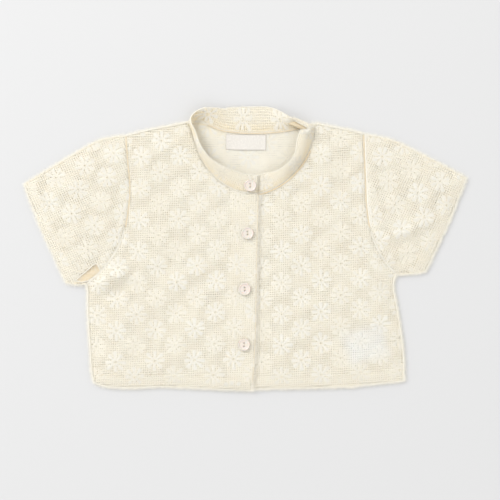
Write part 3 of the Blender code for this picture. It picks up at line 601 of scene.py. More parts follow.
def petalShape(share, side):
    # Half width grows from a share at the root and rounds off as a quarter circle at the tip.
    # The section is a low arch, 1 - |side|^power, highest halfway along and less a soft crease in its
    # middle, which deepens over the first half and ends where the petal closes at its tip.
    past = np.maximum(0, share - daisy["roundFrom"]) / (1 - daisy["roundFrom"])
    rounding = np.sqrt(np.maximum(0.004, 1 - past**2))  # the tip keeps a little width, so no face is empty
    halfWidth = daisy["fullness"] * (daisy["rootWidth"] + (1 - daisy["rootWidth"]) * share) * rounding
    along = daisy["rootArch"] + (1 - daisy["rootArch"]) * np.sin(math.pi * np.clip(share, 0, 1) ** 0.8)
    arch = (1 - np.abs(side) ** daisy["archPower"]) * along
    arch = arch - daisy["crease"] * bell(side, daisy["creaseWidth"]) * stepUp(share, 0.15, 0.5)
    return halfWidth, daisy["bed"] + daisy["rise"] * arch * np.sqrt(np.maximum(0, 1 - share**8))


def daisyPlaces(loop, lattice):
    steps = np.arange(-16, 17)  # enough of them to cover any panel from its anchor
    column, row = (part.ravel()[:, None] for part in np.meshgrid(steps, steps, indexing="ij"))
    places = lattice["anchor"] + column * lattice["across"] + (row + 0.5 * (column % 2)) * lattice["down"]
    # A daisy whose middle lies outside still reaches in when it is near enough
    return places[insideLoop(loop, places) | (nearestOn(loop, places)[0] < daisy["tip"] - 1)]


def copiesOf(quads, count, size):
    # Faces of many equal meshes, one after the other, each with the same number of points
    return (quads + (np.arange(count) * size)[:, None, None]).reshape(-1, 4)


def daisyArrays(places, turn, allowed, surface):
    # Points (r cos a - v sin a, r sin a + v cos a) of every petal: r runs from its root to its tip
    # and v across it; a petal is cut where the panel ends. The ring is three circles round the eye.
    count = daisy["petals"]
    angle = turn + 2 * math.pi * np.arange(count) / count
    angle = angle + chance.normal(0, daisy["tilt"], (len(places), count))
    reach = daisy["tip"] * chance.uniform(*daisy["reach"], angle.shape)
    breadth = chance.uniform(*daisy["breadth"], angle.shape)
    trial = np.linspace(0, 1, daisy["trials"])
    radius = daisy["root"] + (reach - daisy["root"])[..., None] * trial
    x = places[:, 0, None, None] + radius * np.cos(angle)[..., None]
    y = places[:, 1, None, None] + radius * np.sin(angle)[..., None]
    free = allowed(pairs(x, y)).reshape(x.shape)
    first, last = free.argmax(axis=2), len(trial) - 1 - free[..., ::-1].argmax(axis=2)
    keep = free.any(axis=2) & (last - first >= daisy["shortest"])
    which = np.nonzero(keep)[0]
    start, end = trial[first[keep]][:, None], trial[last[keep]][:, None]
    angle, reach, breadth = (part[keep][:, None, None] for part in (angle, reach, breadth))
    share, side = np.broadcast_arrays((start + (end - start) * petalAlong)[..., None], petalAcross)
    halfWidth, lift = petalShape(share, side)
    faint = chance.uniform(0, 1, len(places)) ** 1.5  # most daisies are clear, and a few are faint
    lift = lift * (1 - daisy["faint"] * faint[which])[:, None, None]
    r, v = daisy["root"] + (reach - daisy["root"]) * share, halfWidth * side * breadth
    x = places[which, 0, None, None] + r * np.cos(angle) - v * np.sin(angle)
    y = places[which, 1, None, None] + r * np.sin(angle) + v * np.cos(angle)
    points = surface(x.ravel(), y.ravel(), lift.ravel())
    uv = np.column_stack([(v + 2).ravel(), (r + angle * 3).ravel()])  # stitches start apart in each petal
    quads = copiesOf(gridQuads(len(petalAlong), len(petalAcross)), len(which), share[0].size)[:, ::-1]

    sides, circles = daisy["ringSides"], len(daisy["ring"])
    around = 2 * math.pi * np.arange(sides) / sides
    ringRadius, ringLift = np.array(daisy["ring"]).T[..., None]
    x = places[:, 0, None, None] + ringRadius * np.cos(around)
    y = places[:, 1, None, None] + ringRadius * np.sin(around)
    whole = allowed(pairs(x, y)).reshape(len(places), -1).all(axis=1)
    number, size = int(whole.sum()), circles * sides
    lift = np.broadcast_to(ringLift, x.shape)[whole]
    ring = surface(x[whole].ravel(), y[whole].ravel(), lift.ravel())
    ringUv = np.column_stack([
        np.tile(np.repeat(np.arange(circles), sides), number), np.tile(around * 2, circles * number),
    ])
    ringQuads = copiesOf(gridQuads(circles, sides, wrap=True), number, size) + len(points)
    paintedLightAndTone = np.concatenate([np.repeat(faint[which], share[0].size), np.repeat(faint[whole], size)])
    return np.vstack([points, ring]), np.vstack([quads, ringQuads]), np.vstack([uv, ringUv]), paintedLightAndTone


def laceDaisies(name, loop, lattice, middle, look, hem=None, gaps=False, toneAndPaintedLight=None):
    # Every daisy on an outline, laid on the cloth and clear of its edge, as one piece
    places = daisyPlaces(loop, lattice)
    turn = math.atan2(lattice["across"][1], lattice["across"][0])

    def allowed(points):
        free = insideLoop(loop, points) & (nearestOn(loop, points)[0] > daisy["margin"])
        if hem is not None:
            free &= nearestOn(hem, points)[0] > daisy["hemMargin"]
        return free & ~insideLoop(underarmGap, points) if gaps else free

    def surface(x, y, lift):
        return np.column_stack([x, y, middle(x, y) + lift])

    points, quads, uv, paintedLightAndTone = daisyArrays(places, turn, allowed, surface)
    # painted shade and painted light, on top of the daisies' random tone
    if toneAndPaintedLight:
        paintedLightAndTone = paintedLightAndTone + toneAndPaintedLight(points)
    print(name, len(places), "daisies", 2 * len(quads), "triangles")
    return meshPiece(name, points, quads, look, "lace", uv, paintedLightAndTone)


nap = {
    "perSquare": 0.95,  # fibres on a square millimetre
    "length": (1.4, 3.6), "width": (0.11, 0.21), "lift": (0.05, 0.45), "root": 0.3,
    "twist": 0.6, "tip": 0.3, "lowest": 0.1,  # how a ribbon turns, its tip's share of its width, its floor
    "edgeLength": (1.2, 4.2), "edgePerLength": 21.0, "lapPerLength": 16.0, "edgeStep": 0.5,
    "edgeLift": (-0.08, 0.25), "edgeSpread": 1.1, "edgeBand": (-1.6, 0.2), "edgeHeights": (0.5, 2.0),
    "lapHeights": (-0.2, 1.4),  # above the underside of the front that laps over
}


def fibres(start, normal, along, lengths=nap["length"], lifts=nap["lift"], spread=math.pi):
    # Ribbons from their roots to narrow tips: root + (a cos t + b sin t + normal * lift) * length
    count = len(start)
    other = np.cross(normal, along)
    turn = chance.uniform(-spread, spread, count)[:, None]
    length = chance.uniform(*lengths, count)[:, None]
    width = chance.uniform(*nap["width"], count)[:, None]
    reach = along * np.cos(turn) + other * np.sin(turn) + normal * chance.uniform(*lifts, count)[:, None]
    twist = chance.uniform(-nap["twist"], nap["twist"], count)[:, None]
    side = (other * np.cos(turn) - along * np.sin(turn) + normal * twist) * width / 2
    tip = start + reach * length
    points = np.stack([start - side, start + side, tip + nap["tip"] * side, tip - nap["tip"] * side], axis=1)
    points[..., 2] = np.maximum(points[..., 2], nap["lowest"])  # none reaches below the surface
    return points.reshape(-1, 3), np.arange(4 * count).reshape(-1, 4)


def napOver(name, loop, middle, look):
    # Fibres from random places inside an outline
    low, high = loop.min(axis=0), loop.max(axis=0)
    places = chance.uniform(low, high, (int(nap["perSquare"] * np.prod(high - low)), 2))
    x, y = places[insideLoop(loop, places)].T
    start = np.column_stack([x, y, middle(x, y) + nap["root"]])
    points, quads = fibres(start, np.array([[0.0, 0.0, 1.0]]), np.array([[1.0, 0.0, 0.0]]))
    print(name, len(quads), "fibres")
    return meshPiece(name, points, quads, look, "lace")


def evenLine(path, spacing):
    # The path again, with points at even distances along it
    path = np.asarray(path, float)
    length = np.concatenate([[0], np.cumsum(np.linalg.norm(np.diff(path, axis=0), axis=1))])
    at = np.linspace(0, length[-1], max(3, round(length[-1] / spacing) + 1))
    return np.column_stack([np.interp(at, length, column) for column in path.T]), at


def unit(vectors):
    # Each row divided by its length
    return vectors / np.linalg.norm(vectors, axis=1)[:, None]


def rightOf(path):
    # Unit vector to the right of each point of a path, seen from above
    ahead = unit(np.gradient(path[:, :2], axis=0))
    return np.column_stack([ahead[:, 1], -ahead[:, 0]])


def rollAlong(path, halfWidth, halfHeight, ripple, pitch=2.2, sides=8, spacing=0.75):
    # Oval carried along a path: p + across * w cos a + up * h sin a, swelling by ripple once a stitch
    path, at = evenLine(path, spacing)
    swell = 1 + ripple * np.sin(2 * math.pi * at / pitch)
    swell[[0, -1]] = 0.05  # closes the ends
    a = 2 * math.pi * np.arange(sides) / sides
    points = np.repeat(path[:, None, :], sides, axis=1)
    points[..., :2] += rightOf(path)[:, None, :] * ((halfWidth * swell)[:, None] * np.cos(a))[..., None]
    points[..., 2] += (halfHeight * swell)[:, None] * np.sin(a)
    return points.reshape(-1, 3), gridQuads(len(path), sides, wrap=True)


capsule = {
    "ahead": np.array([-0.5, -0.3, 0.3, 0.5]),  # shares of a stitch's length
    "wide": np.array([0.15, 1.0, 1.0, 0.15]),  # shares of its radius
    "sink": np.array([-0.9, 0.0, 0.0, -0.9]), "sides": 6,
}


def stitchRow(path, pitch, length, radius):
    # Small capsules along a path: p + ahead * x + across * r cos a + up * r sin a, thin at both ends
    path, _ = evenLine(path, pitch)
    ahead, rings, sides = unit(np.gradient(path, axis=0)), len(capsule["ahead"]), capsule["sides"]
    across = np.column_stack([rightOf(path), np.zeros(len(path))])
    r = radius * capsule["wide"][:, None]
    a = 2 * math.pi * np.arange(sides) / sides
    points = path[:, None, None, :] + ahead[:, None, None, :] * (length * capsule["ahead"])[:, None, None]
    points = points + across[:, None, None, :] * (r * np.cos(a))[..., None]
    points[..., 2] += r * np.sin(a) + radius * capsule["sink"][:, None]
    return points.reshape(-1, 3), copiesOf(gridQuads(rings, sides, wrap=True), len(path), rings * sides)


def joinedArrays(parts):
    # Several meshes as one: their points stacked and their faces renumbered
    start = np.cumsum([0] + [len(points) for points, _ in parts])[:-1]
    return np.vstack([p for p, _ in parts]), np.vstack([q + s for (_, q), s in zip(parts, start)])


def onCloth(path, middle, lift):
    # A line laid on the cloth: the height of the cloth's middle and a lift at each of its points
    path, _ = evenLine(path, cloth["along"])
    return np.column_stack([path, middle(*path.T) + lift])


# Materials. Every yarn shares one group, which gives it fibres and an uneven colour

def addNode(tree, kind, inputs=(), **traits):
    # A shader node with its traits; each input is set to a value, or linked to the output that is given
    made = tree.nodes.new(kind)
    for trait, value in traits.items():
        setattr(made, trait, value)
    for socket, value in dict(inputs).items():
        if isinstance(value, bpy.types.NodeSocket):
            tree.links.new(value, made.inputs[socket])
        else:
            made.inputs[socket].default_value = value
    return made


def objectPlace(tree):
    # The place in the object's own coordinates
    return addNode(tree, "ShaderNodeTexCoord").outputs["Object"]


def waveBands(tree, direction, scale, distortion):
    # Bands across the piece's own stitch coordinates
    own = addNode(tree, "ShaderNodeUVMap", uv_map="stitches").outputs["UV"]
    inputs = {"Vector": own, "Scale": scale, "Distortion": distortion}
    return addNode(tree, "ShaderNodeTexWave", inputs, bands_direction=direction).outputs["Fac"]


def summed(tree, one, other):
    # one + other
    return addNode(tree, "ShaderNodeMath", {0: one, 1: other}, operation="ADD").outputs[0]


def mixedColour(tree, share, one, other, clamped=True):
    # one + (other - one) * share
    inputs = {"Factor": share, "A": one, "B": (*other, 1.0)}
    return addNode(tree, "ShaderNodeMix", inputs, data_type="RGBA", clamp_factor=clamped).outputs["Result"]


def buildYarnGroup():
    # Shared by every yarn: its fibres as height, and its fibres and uneven patches mixed as shade
    group = bpy.data.node_groups.new("yarnFibres", "ShaderNodeTree")
    face = group.interface
    face.new_socket(name="Place", in_out="INPUT", socket_type="NodeSocketVector")
    for name, value in (("Fibre size", 0.35), ("Patch size", 14.0), ("Fuzz", 0.5)):
        face.new_socket(name=name, in_out="INPUT", socket_type="NodeSocketFloat").default_value = value
    for name in ("Shade", "Height"):
        face.new_socket(name=name, in_out="OUTPUT", socket_type="NodeSocketFloat")
    given = addNode(group, "NodeGroupInput").outputs

    def noiseOf(size, detail, roughness):
        # 1000 / size turns a size in millimetres into a noise scale in metres
        scale = addNode(group, "ShaderNodeMath", {0: 1000.0, 1: given[size]}, operation="DIVIDE").outputs[0]
        inputs = {"Vector": given["Place"], "Scale": scale, "Detail": detail, "Roughness": roughness}
        return addNode(group, "ShaderNodeTexNoise", inputs).outputs["Fac"]

    fibreNoise = noiseOf("Fibre size", detail=3.0, roughness=0.65)
    patchNoise = noiseOf("Patch size", detail=4.0, roughness=0.5)
    both = addNode(group, "ShaderNodeMix", {"Factor": given["Fuzz"], "A": patchNoise, "B": fibreNoise})
    spread = addNode(
        group, "ShaderNodeMapRange", {"Value": both.outputs["Result"], "From Min": 0.3, "From Max": 0.7},
    )
    addNode(group, "NodeGroupOutput", {"Shade": spread.outputs["Result"], "Height": fibreNoise})
    return group


yarnGroup = buildYarnGroup()


def plainMaterial(name, settings):
    # A material with some of its shader's own inputs set
    made = bpy.data.materials.new(name)
    made.use_nodes = True
    shader = made.node_tree.nodes["Principled BSDF"]
    for socket, value in settings.items():
        shader.inputs[socket].default_value = value
    return made, made.node_tree, shader


def bumped(tree, shader, height, strength, distance):
    # The shader's normal follows a height
    inputs = {"Height": height, "Strength": strength, "Distance": distance}
    bump = addNode(tree, "ShaderNodeBump", inputs)
    tree.links.new(bump.outputs["Normal"], shader.inputs["Normal"])


def yarnMaterial(name, light, shade, toneAndPaintedLight=None, through=0.4, fuzz=0.5, bump=0.25, stitch=0.0):
    # Rough yarn with a sheen, a share of light through it, a fine bump and the colours mixed by its fibres
    made, tree, shader = plainMaterial(name, {
        "Roughness": 0.85, "Specular IOR Level": 0.2,
        "Sheen Weight": 0.25, "Sheen Roughness": 0.5, "Sheen Tint": (1.0, 0.98, 0.94, 1.0),
    })
    inputs = {"Place": objectPlace(tree), "Fuzz": fuzz}
    yarn = addNode(tree, "ShaderNodeGroup", inputs, node_tree=yarnGroup)
    colour = mixedColour(tree, yarn.outputs["Shade"], (*shade, 1.0), light)
    # the mark mixes in the warmer colour for painted shade and random tone, and below 0 mixes it out for
    # painted light
    if toneAndPaintedLight:
        mark = addNode(tree, "ShaderNodeAttribute", attribute_name="paintedLightAndTone").outputs["Fac"]
        colour = mixedColour(tree, mark, colour, toneAndPaintedLight, clamped=False)
    tree.links.new(colour, shader.inputs["Base Color"])
    height = yarn.outputs["Height"]
    if stitch:  # satin stitches across a petal
        height = summed(tree, height, waveBands(tree, "Y", scale=1 / stitch, distortion=1.2))
    bumped(tree, shader, height, strength=bump, distance=0.0002)
    # Light that comes through the yarn from behind
    glow = addNode(tree, "ShaderNodeBsdfTranslucent", {"Color": colour}).outputs["BSDF"]
    blend = addNode(tree, "ShaderNodeMixShader", {"Fac": through, 1: shader.outputs["BSDF"], 2: glow})
    tree.links.new(blend.outputs["Shader"], tree.nodes["Material Output"].inputs["Surface"])
    return made


# Each yarn's lighter and darker colour, and the warmer one, for painted shade and random tone, of those whose
# pieces carry that mark
creamYarn = yarnMaterial("creamYarn", (0.946, 0.925, 0.84), (0.928, 0.884, 0.778), toneAndPaintedLight=(0.94, 0.873, 0.69))
shadedYarn = yarnMaterial("shadedYarn", (0.94, 0.88, 0.72), (0.91, 0.82, 0.62))  # painted shade: a darker, more golden copy for inner sides
# painted light: the band's lace is lighter than the rest, to lift the shade on its steep walls
bandLitYarn = yarnMaterial(
    "bandLitYarn", (0.98, 0.958, 0.88), (0.972, 0.935, 0.84), toneAndPaintedLight=(0.98, 0.92, 0.76), through=0.5,
)
# the folded edges are paler like their fuzz, and partly painted light that lifts the shade at the folds
edgeLitYarn = yarnMaterial("edgeLitYarn", (0.94, 0.925, 0.87), (0.915, 0.89, 0.815), fuzz=0.6)
napYarn = yarnMaterial("napYarn", (0.944, 0.93, 0.88), (0.934, 0.908, 0.84), through=0.5, bump=0.0)
petalYarn = yarnMaterial(
    "petalYarn", (0.905, 0.90, 0.862), (0.868, 0.848, 0.79), toneAndPaintedLight=(0.88, 0.852, 0.77), fuzz=0.6, stitch=1.6,
)
seamYarn = yarnMaterial("seamYarn", (0.93, 0.895, 0.80), (0.88, 0.825, 0.71), fuzz=0.6)
# painted shade: the tan roll along the lapped edge, where shade falls beside it
lapShadeYarn = yarnMaterial("lapShadeYarn", (0.93, 0.88, 0.76), (0.89, 0.82, 0.67), fuzz=0.6)
# painted shade: golden pieces where shade falls in the underarm gap and the band's bunched corner
goldShadeYarn = yarnMaterial("goldShadeYarn", (0.90, 0.82, 0.65), (0.88, 0.78, 0.58), fuzz=0.6)
# painted shade: tan rolls where shade falls along the armhole and neckband seams
tanShadeYarn = yarnMaterial("tanShadeYarn", (0.88, 0.79, 0.62), (0.83, 0.72, 0.52), fuzz=0.6)

# The two satin labels' places; the care label lies under the left front
satin = {
    "neck": {"middle": (0.7, 102.2), "size": (38.4, 14.4), "turn": -0.6, "bulge": 0.7, "base": 1.0},
    "care": {"middle": (119.0, -92.0), "size": (36.0, 27.0), "turn": 14.0, "bulge": 0.25, "base": 1.75},
    "thickness": 0.2, "intoCover": 0.05, "columns": 49, "rows": 19,
    "sewnEnd": (0.28, 0.05),  # height of the ridge at each end, and its reach as a share of the length
    "sag": 0.35, "waver": 0.05,
}

# Back, the two fronts and what doubles them. A mark paints shade on the lace where light is kept off it, and
# painted light where the white label lies under it
paintedShadeAndLight = {
    "underFronts": (1.0, 8.0),  # distances outside the neck opening over which painted shade on the back grows
    # inside it: the most, its reach, and the distances to the left of the middle over which it grows
    "neckShade": (0.8, 6.0, 5.0, 30.0),
    "overLabel": (-0.7, 13.0),  # painted light: over the label the lace is whiter, which fades out over a distance
    "labelInset": 4.0, "labelShift": 4.0,
    "bandSeam": 0.3,  # share of the neckband's width over which painted shade falls from its seam
    "bandCornerShade": (0.9, 17.0),  # painted shade: the most round its left corner at the back, and its reach
}
neckInside = closedLoop(line["necklineBack"], line["necklineLeft"][::-1], line["necklineRight"])


def underFronts(points):
    # painted shade on the back, under the fronts and beside the neck opening
    # Rises to 1 outside the neck opening, where the fronts keep light off the back;
    # inside it only along its left edge, as a bell of the distance to it
    places = points[:, :2]
    most, reach, low, high = paintedShadeAndLight["neckShade"]
    gap = nearestOn(neckInside, places)[0]
    shaded = most * bell(gap, reach) * stepUp(-places[:, 0], low, high)
    return np.where(insideLoop(neckInside, places), shaded, stepUp(gap, *paintedShadeAndLight["underFronts"]))


def turned(x, y, degrees):
    # (x cos - y sin, x sin + y cos)
    cos, sin = math.cos(math.radians(degrees)), math.sin(math.radians(degrees))
    return x * cos - y * sin, x * sin + y * cos


def overLabel(points):
    # Painted light: lowest, so the lace is whiter, where the satin label in the side seam lies right under
    # the lace, fading out beside it
    label, inset, (most, fade) = satin["care"], paintedShadeAndLight["labelInset"], paintedShadeAndLight["overLabel"]
    (mx, my), (width, height) = label["middle"], label["size"]
    x, y = turned(points[:, 0] - mx + paintedShadeAndLight["labelShift"], points[:, 1] - my, -label["turn"])
    past = np.hypot(
        np.maximum(0, abs(x) - width / 2 + inset), np.maximum(0, abs(y) - height / 2 + inset),
    )
    return most * (1 - stepUp(past, 0.0, fade))


backNet = lacePanel("backNet", backLoop, latticeBack, backMiddle, creamYarn, closed=False, toneAndPaintedLight=underFronts)
backDaisies = laceDaisies("backDaisies", backLoop, latticeBack, backMiddle, petalYarn)
rightNet = lacePanel("rightFrontNet", rightLoop, latticeRight, rightMiddle, creamYarn, doubled=rightDoubled)
rightDaisies = laceDaisies(
    "rightFrontDaisies", rightLoop, latticeRight, rightMiddle, petalYarn, hem=hemRight,
)
leftNet = lacePanel(
    "leftFrontNet", leftLoop, latticeLeft, leftMiddle, creamYarn, doubled=leftDoubled, toneAndPaintedLight=overLabel,
)
leftDaisies = laceDaisies(
    "leftFrontDaisies", leftLoop, latticeLeft, leftMiddle, petalYarn, hem=line["hemLeft"], toneAndPaintedLight=overLabel,
)


def bandLoop(edge, inward):
    # Outline of a strip along an edge: the edge and the same line moved inward
    return closedLoop(edge, (edge + inward)[::-1])


def below(middle, drop):
    # A surface a drop below another, and only a share of that at the outline, where the cloth settles
    lost = 1 - cloth["edgeDrop"]
    return lambda x, y: middle(x, y) - drop * (1 - lost * nearOutline(x, y, cloth["settleReach"]))


hemUp = (0.0, cloth["hem"])
for name, loop, lattice, middle in (
    ("rightHemFacing", bandLoop(hemRight, hemUp), latticeRight, rightMiddle),
    ("lapFacing", bandLoop(line["lapEdge"], (-cloth["placket"], 1.0)), latticeRight, rightMiddle),
    ("leftHemFacing", bandLoop(line["hemLeft"], hemUp), latticeLeft, leftMiddle),
):
    lacePanel(
        name, loop, lattice, below(middle, cloth["facingDrop"]), creamYarn, shift=0.5, closed=False,
    )

# Sleeves: an upper and a lower layer that meet at the folds
sleeveNets, sleeveDaisies = {}, {}
for side, loop in sleeveLoop.items():
    lattice, upper, lower = latticeSleeve[side], sleeveUpper(side), sleeveLower(side)
    name = side.lower() + "Sleeve"
    sleeveNets[side] = lacePanel(
        name + "Net", loop, lattice, upper, creamYarn, doubled=cuffDoubled(side), gaps=True,
    )
    sleeveDaisies[side] = laceDaisies(
        name + "Daisies", loop, lattice, upper, petalYarn, hem=line["cuff" + side], gaps=True,
    )
    sleeveNets[side + "Lower"] = lacePanel(
        name + "LowerNet", loop, lattice, lower, shadedYarn, closed=False, share=lace["underside"],
    )
    sleeveDaisies[side + "Lower"] = laceDaisies(name + "LowerDaisies", loop, lattice, lower, petalYarn)


def edgeNapOver(path, low, high, share):
    # Fibres along an edge that point to the right of its run, from places beside it and between two heights
    path, at = evenLine(path, nap["edgeStep"])
    away = np.column_stack([rightOf(path), np.zeros(len(path))])
    count = int(share * at[-1])
    pick = chance.integers(0, len(path), count)
    place = path[pick] + away[pick, :2] * chance.uniform(*nap["edgeBand"], count)[:, None]
    start = np.column_stack([place, chance.uniform(low(*place.T), high(*place.T))])
    upward = np.broadcast_to([0.0, 0.0, 1.0], start.shape)
    return fibres(start, upward, away[pick], nap["edgeLength"], nap["edgeLift"], nap["edgeSpread"])


# The brushed nap of the upper side
outward = silhouette if loopArea(silhouette, signed=True) > 0 else silhouette[::-1]
heights = [lambda x, y, high=high: high + 0 * x for high in nap["edgeHeights"]]
lapHeights = [below(upperLow, -high) for high in nap["lapHeights"]]
naps = {
    "back": napOver("backNap", neckInside, backMiddle, napYarn),
    "right": napOver("rightFrontNap", rightLoop, rightMiddle, napYarn),
    "left": napOver("leftFrontNap", leftLoop, leftMiddle, napYarn),
    "sleeveRight": napOver("rightSleeveNap", sleeveLoop["Right"], sleeveUpper("Right"), napYarn),
    "sleeveLeft": napOver("leftSleeveNap", sleeveLoop["Left"], sleeveUpper("Left"), napYarn),
    "edge": meshPiece("edgeNap", *joinedArrays([
        edgeNapOver(outward, *heights, nap["edgePerLength"]),
        edgeNapOver(line["lapEdge"][::-1], *lapHeights, nap["lapPerLength"]),
    ]), napYarn, "lace"),
}

# Neckband: a doubled stand of lace, from its seam to its folded free edge

neckband = {
    "shadedCorner": (-42.0, 124.0),
    "bunched": [
        (42.5, 121.4, 5), (47.3, 119.4, 5.6), (51.4, 117.6, 5.8), (56.5, 116, 6.2), (62, 114, 6),
    ],
    "thickness": 1.8, "spacing": 2.1, "layerOffset": 0.42, "cells": 9, "doubled": 0.95,
    "foldFrom": 0.85, "lowest": 0.3, "napWidth": 19.0, "napRoot": 0.25, "napEnds": 0.5, "nearby": 0.3,
    "firstDaisy": (4.0, 0.52),  # distance along the seam, and share of the width
    "daisyMargins": (1.0, 0.9, 0.6),  # petals end this far from the ends, the seam and the fold
    "turn": 8,  # the row where it goes from the front that laps over to the back
    # seam point, panel that carries it (1 a front, -1 the back), lean, rise and bow of its section
    "rows": [
        (11.5, 52.6, 1, 17, 0.4, 0.2),
        (-4, 54.5, 1, 17, 1, 0.4),
        (-18, 60.5, 1, 15.5, 3.6, 1),
        (-30.5, 70, 1, 11.5, 7, 1.6),
        (-40.5, 82, 1, 7, 9, 1.8),
        (-47, 96, 1, 4, 10, 1.8),
        (-51, 110, 1, 2.5, 10.5, 1.6),
        (-52.4, 118, 0.9, 0.5, 10.5, 1.4),
        (-49.4, 123.2, 0, -4, 9.5, 1.2),
        (-42.9, 122.6, -1, -12, 7, 1),
        (-33, 118.5, -1, -17.2, 3.6, 0.6),
        (-21, 113.8, -1, -21.8, 1.6, 0.3),
        (0, 111.5, -1, -24.3, 1.2, 0.2),
        (22, 111.9, -1, -23.8, 1.4, 0.2),
        (37, 113.3, -1, -17.6, 4, 3.2),
        (50, 115.8, -1, -5, 7.6, 9),
        (60, 119.2, -0.5, 6, 9.2, 6),
        (65.4, 118, 0.6, 11, 9.2, 3.6),
        (66.4, 110.5, 1, 13, 8.8, 2.8),
        (62.6, 98, 1, 13.5, 8.2, 2.4),
        (57, 86, 1, 10, 8.4, 2),
        (49, 75, 1, 9.5, 7.4, 1.6),
        (38, 64.5, 1, 12, 4.6, 1),
        (25, 57, 1, 16, 1.2, 0.3),
        (11, 52.8, 1, 17, 0.2, 0),
        (-9, 51.4, 1, 17, 0.1, 0),
    ],
}


def bandStations():
    # Distance along the band's seam line, and its table's values there with the height it starts at
    # and the way to its right, a row for about every millimetre
    rows = np.array(neckband["rows"])
    onFront = (rows[:, 2] + 1) / 2
    first = np.arange(len(rows)) <= neckband["turn"]
    carried = np.where(first, upperLow(rows[:, 0], rows[:, 1]), underLow(rows[:, 0], rows[:, 1]))
    height = neckband["thickness"] / 2 + onFront * carried
    fine = smoothLine(np.column_stack([rows[:, :2], height, rows[:, 2:]]), 1.0)
    step = np.linalg.norm(np.diff(fine[:, :2], axis=0), axis=1)
    return np.concatenate([[0], np.cumsum(step)]), np.column_stack([fine, rightOf(fine)])


bandAt, bandColumns = bandStations()
bandLength = bandAt[-1]


def bandPoint(s, w, off):
    # Point of the band: s along the seam, w from 0 at the seam to 1 at the free edge, off its middle.
    # The section leans by u = start + lean w - arch rise / width
    # and rises by h = rise w + arch |lean| / width.
    x, y, z, carrier, lean, rise, bow, nx, ny = (np.interp(s, bandAt, column) for column in bandColumns.T)
    width = np.hypot(lean, rise)
    start = carrier * (cloth["seamGap"] + neckband["thickness"] / 2 * rise / width)
    arch, archSlope = 4 * w**2 * (1 - w) * bow, 4 * bow * (2 * w - 3 * w**2)
    u = start + lean * w - arch * rise / width
    h = rise * w + arch * np.abs(lean) / width
    du, dh = lean - archSlope * rise / width, rise + archSlope * np.abs(lean) / width
    norm = np.hypot(du, dh)
    u, h = u - off * dh / norm, h + off * du / norm
    return np.column_stack([x + nx * u, y + ny * u, np.maximum(z + h, neckband["lowest"])])


def bandLayer(side):
    # One layer of the doubled band; the two meet at the fold along the free edge
    count, across = round(bandLength / neckband["spacing"]), neckband["cells"]
    if side > 0:
        s, w = np.linspace(0, bandLength, count + 1), np.arange(across + 1) / across
    else:  # its crossings lie over the other layer's holes
        s = np.concatenate([[0], (np.arange(count) + 0.5) * bandLength / count, [bandLength]])
        w = np.concatenate([[0], (np.arange(across) + 0.5) / across, [1]])
    sGrid, wGrid = (grid.ravel() for grid in np.meshgrid(s, w, indexing="ij"))
    foldFrom = neckband["foldFrom"]
    off = neckband["layerOffset"] * np.sqrt(1 - np.clip((wGrid - foldFrom) / (1 - foldFrom), 0, 1) ** 2)
    nodes = bandPoint(sGrid, wGrid, side * off)
    normals = unit(bandPoint(sGrid, wGrid, side * (off + 0.1)) - nodes)
    cells = gridQuads(len(s), len(w))
    rim = np.ones((len(s), len(w)), bool)
    rim[1:-1, 1:-1] = False
    noEye = np.zeros(len(cells), bool)
    points, quads = netFaces(nodes, normals, cells, rim.ravel(), noEye, doubled=neckband["doubled"])
    # Painted shade, warmer near the seam and round one corner; for the points of both faces and of the holes
    # between
    most, reach = paintedShadeAndLight["bandCornerShade"]
    corner = np.hypot(*(nodes[:, :2] - neckband["shadedCorner"]).T)
    near = np.maximum(bell(wGrid, paintedShadeAndLight["bandSeam"]), most * bell(corner, reach))
    return points, quads, np.concatenate([near, np.tile(near[cells].mean(axis=1), 4), near])


bandLayers = [bandLayer(1), bandLayer(-1)]
bandNet = meshPiece(
    "neckbandNet", *joinedArrays([layer[:2] for layer in bandLayers]), bandLitYarn, "lace",
    paintedLightAndTone=np.concatenate([layer[2] for layer in bandLayers]),
)


def bandDaisies():
    # Daisies every column along the band, each second one half a repeat across, on both faces
    width = float(np.hypot(bandColumns[:, 4], bandColumns[:, 5]).mean())
    start, across = neckband["firstDaisy"]
    s = np.arange(start, bandLength, lace["column"])
    v = width * across + np.arange(len(s)) % 2 * lace["repeat"] / 2
    places = np.vstack([pairs(s, v), pairs(s, v - lace["repeat"])])
    fromEnd, fromSeam, fromFold = neckband["daisyMargins"]

    def allowed(points):
        s, v = points.T
        return (s > fromEnd) & (s < bandLength - fromEnd) & (v > fromSeam) & (v < width - fromFold)

    parts, uvs, paintedLightAndTone = [], [], []
    for side in (1, -1):
        def surface(x, y, lift):
            return bandPoint(x, y / width, side * (neckband["layerOffset"] + lift))
        points, quads, uv, toneAndPaintedLight = daisyArrays(places, 0.0, allowed, surface)
        parts.append((points, quads[:, ::side]))
        uvs.append(uv)
        paintedLightAndTone.append(toneAndPaintedLight)
    return meshPiece(
        "neckbandDaisies", *joinedArrays(parts), petalYarn, "lace", np.vstack(uvs), np.concatenate(paintedLightAndTone),
    )


bandFlowers = bandDaisies()


def bandNapOver():
    # Fibres on both faces: outward along the band's own normal, between two close points of its surface
    count = int(nap["perSquare"] * bandLength * neckband["napWidth"])
    parts = []
    for side in (-1, 1):
        s = chance.uniform(neckband["napEnds"], bandLength - neckband["napEnds"], count)
        w = chance.uniform(0, 1, count)
        low, high = (side * (neckband["layerOffset"] + times * neckband["napRoot"]) for times in (1, 2))
        root = bandPoint(s, w, low)
        normal, along = (
            ahead / (np.linalg.norm(ahead, axis=1)[:, None] + 1e-9)  # where both points are one, it stays 0
            for ahead in (bandPoint(s, w, high) - root, bandPoint(s + neckband["nearby"], w, low) - root)
        )
        parts.append(fibres(root, normal, along))
    return meshPiece("neckbandNap", *joinedArrays(parts), napYarn, "lace")


bandNap = bandNapOver()
print("neckband made,", round(bandLength), "mm along its seam")

# Folded edges and seams: small rolls of yarn, and rows of stitches

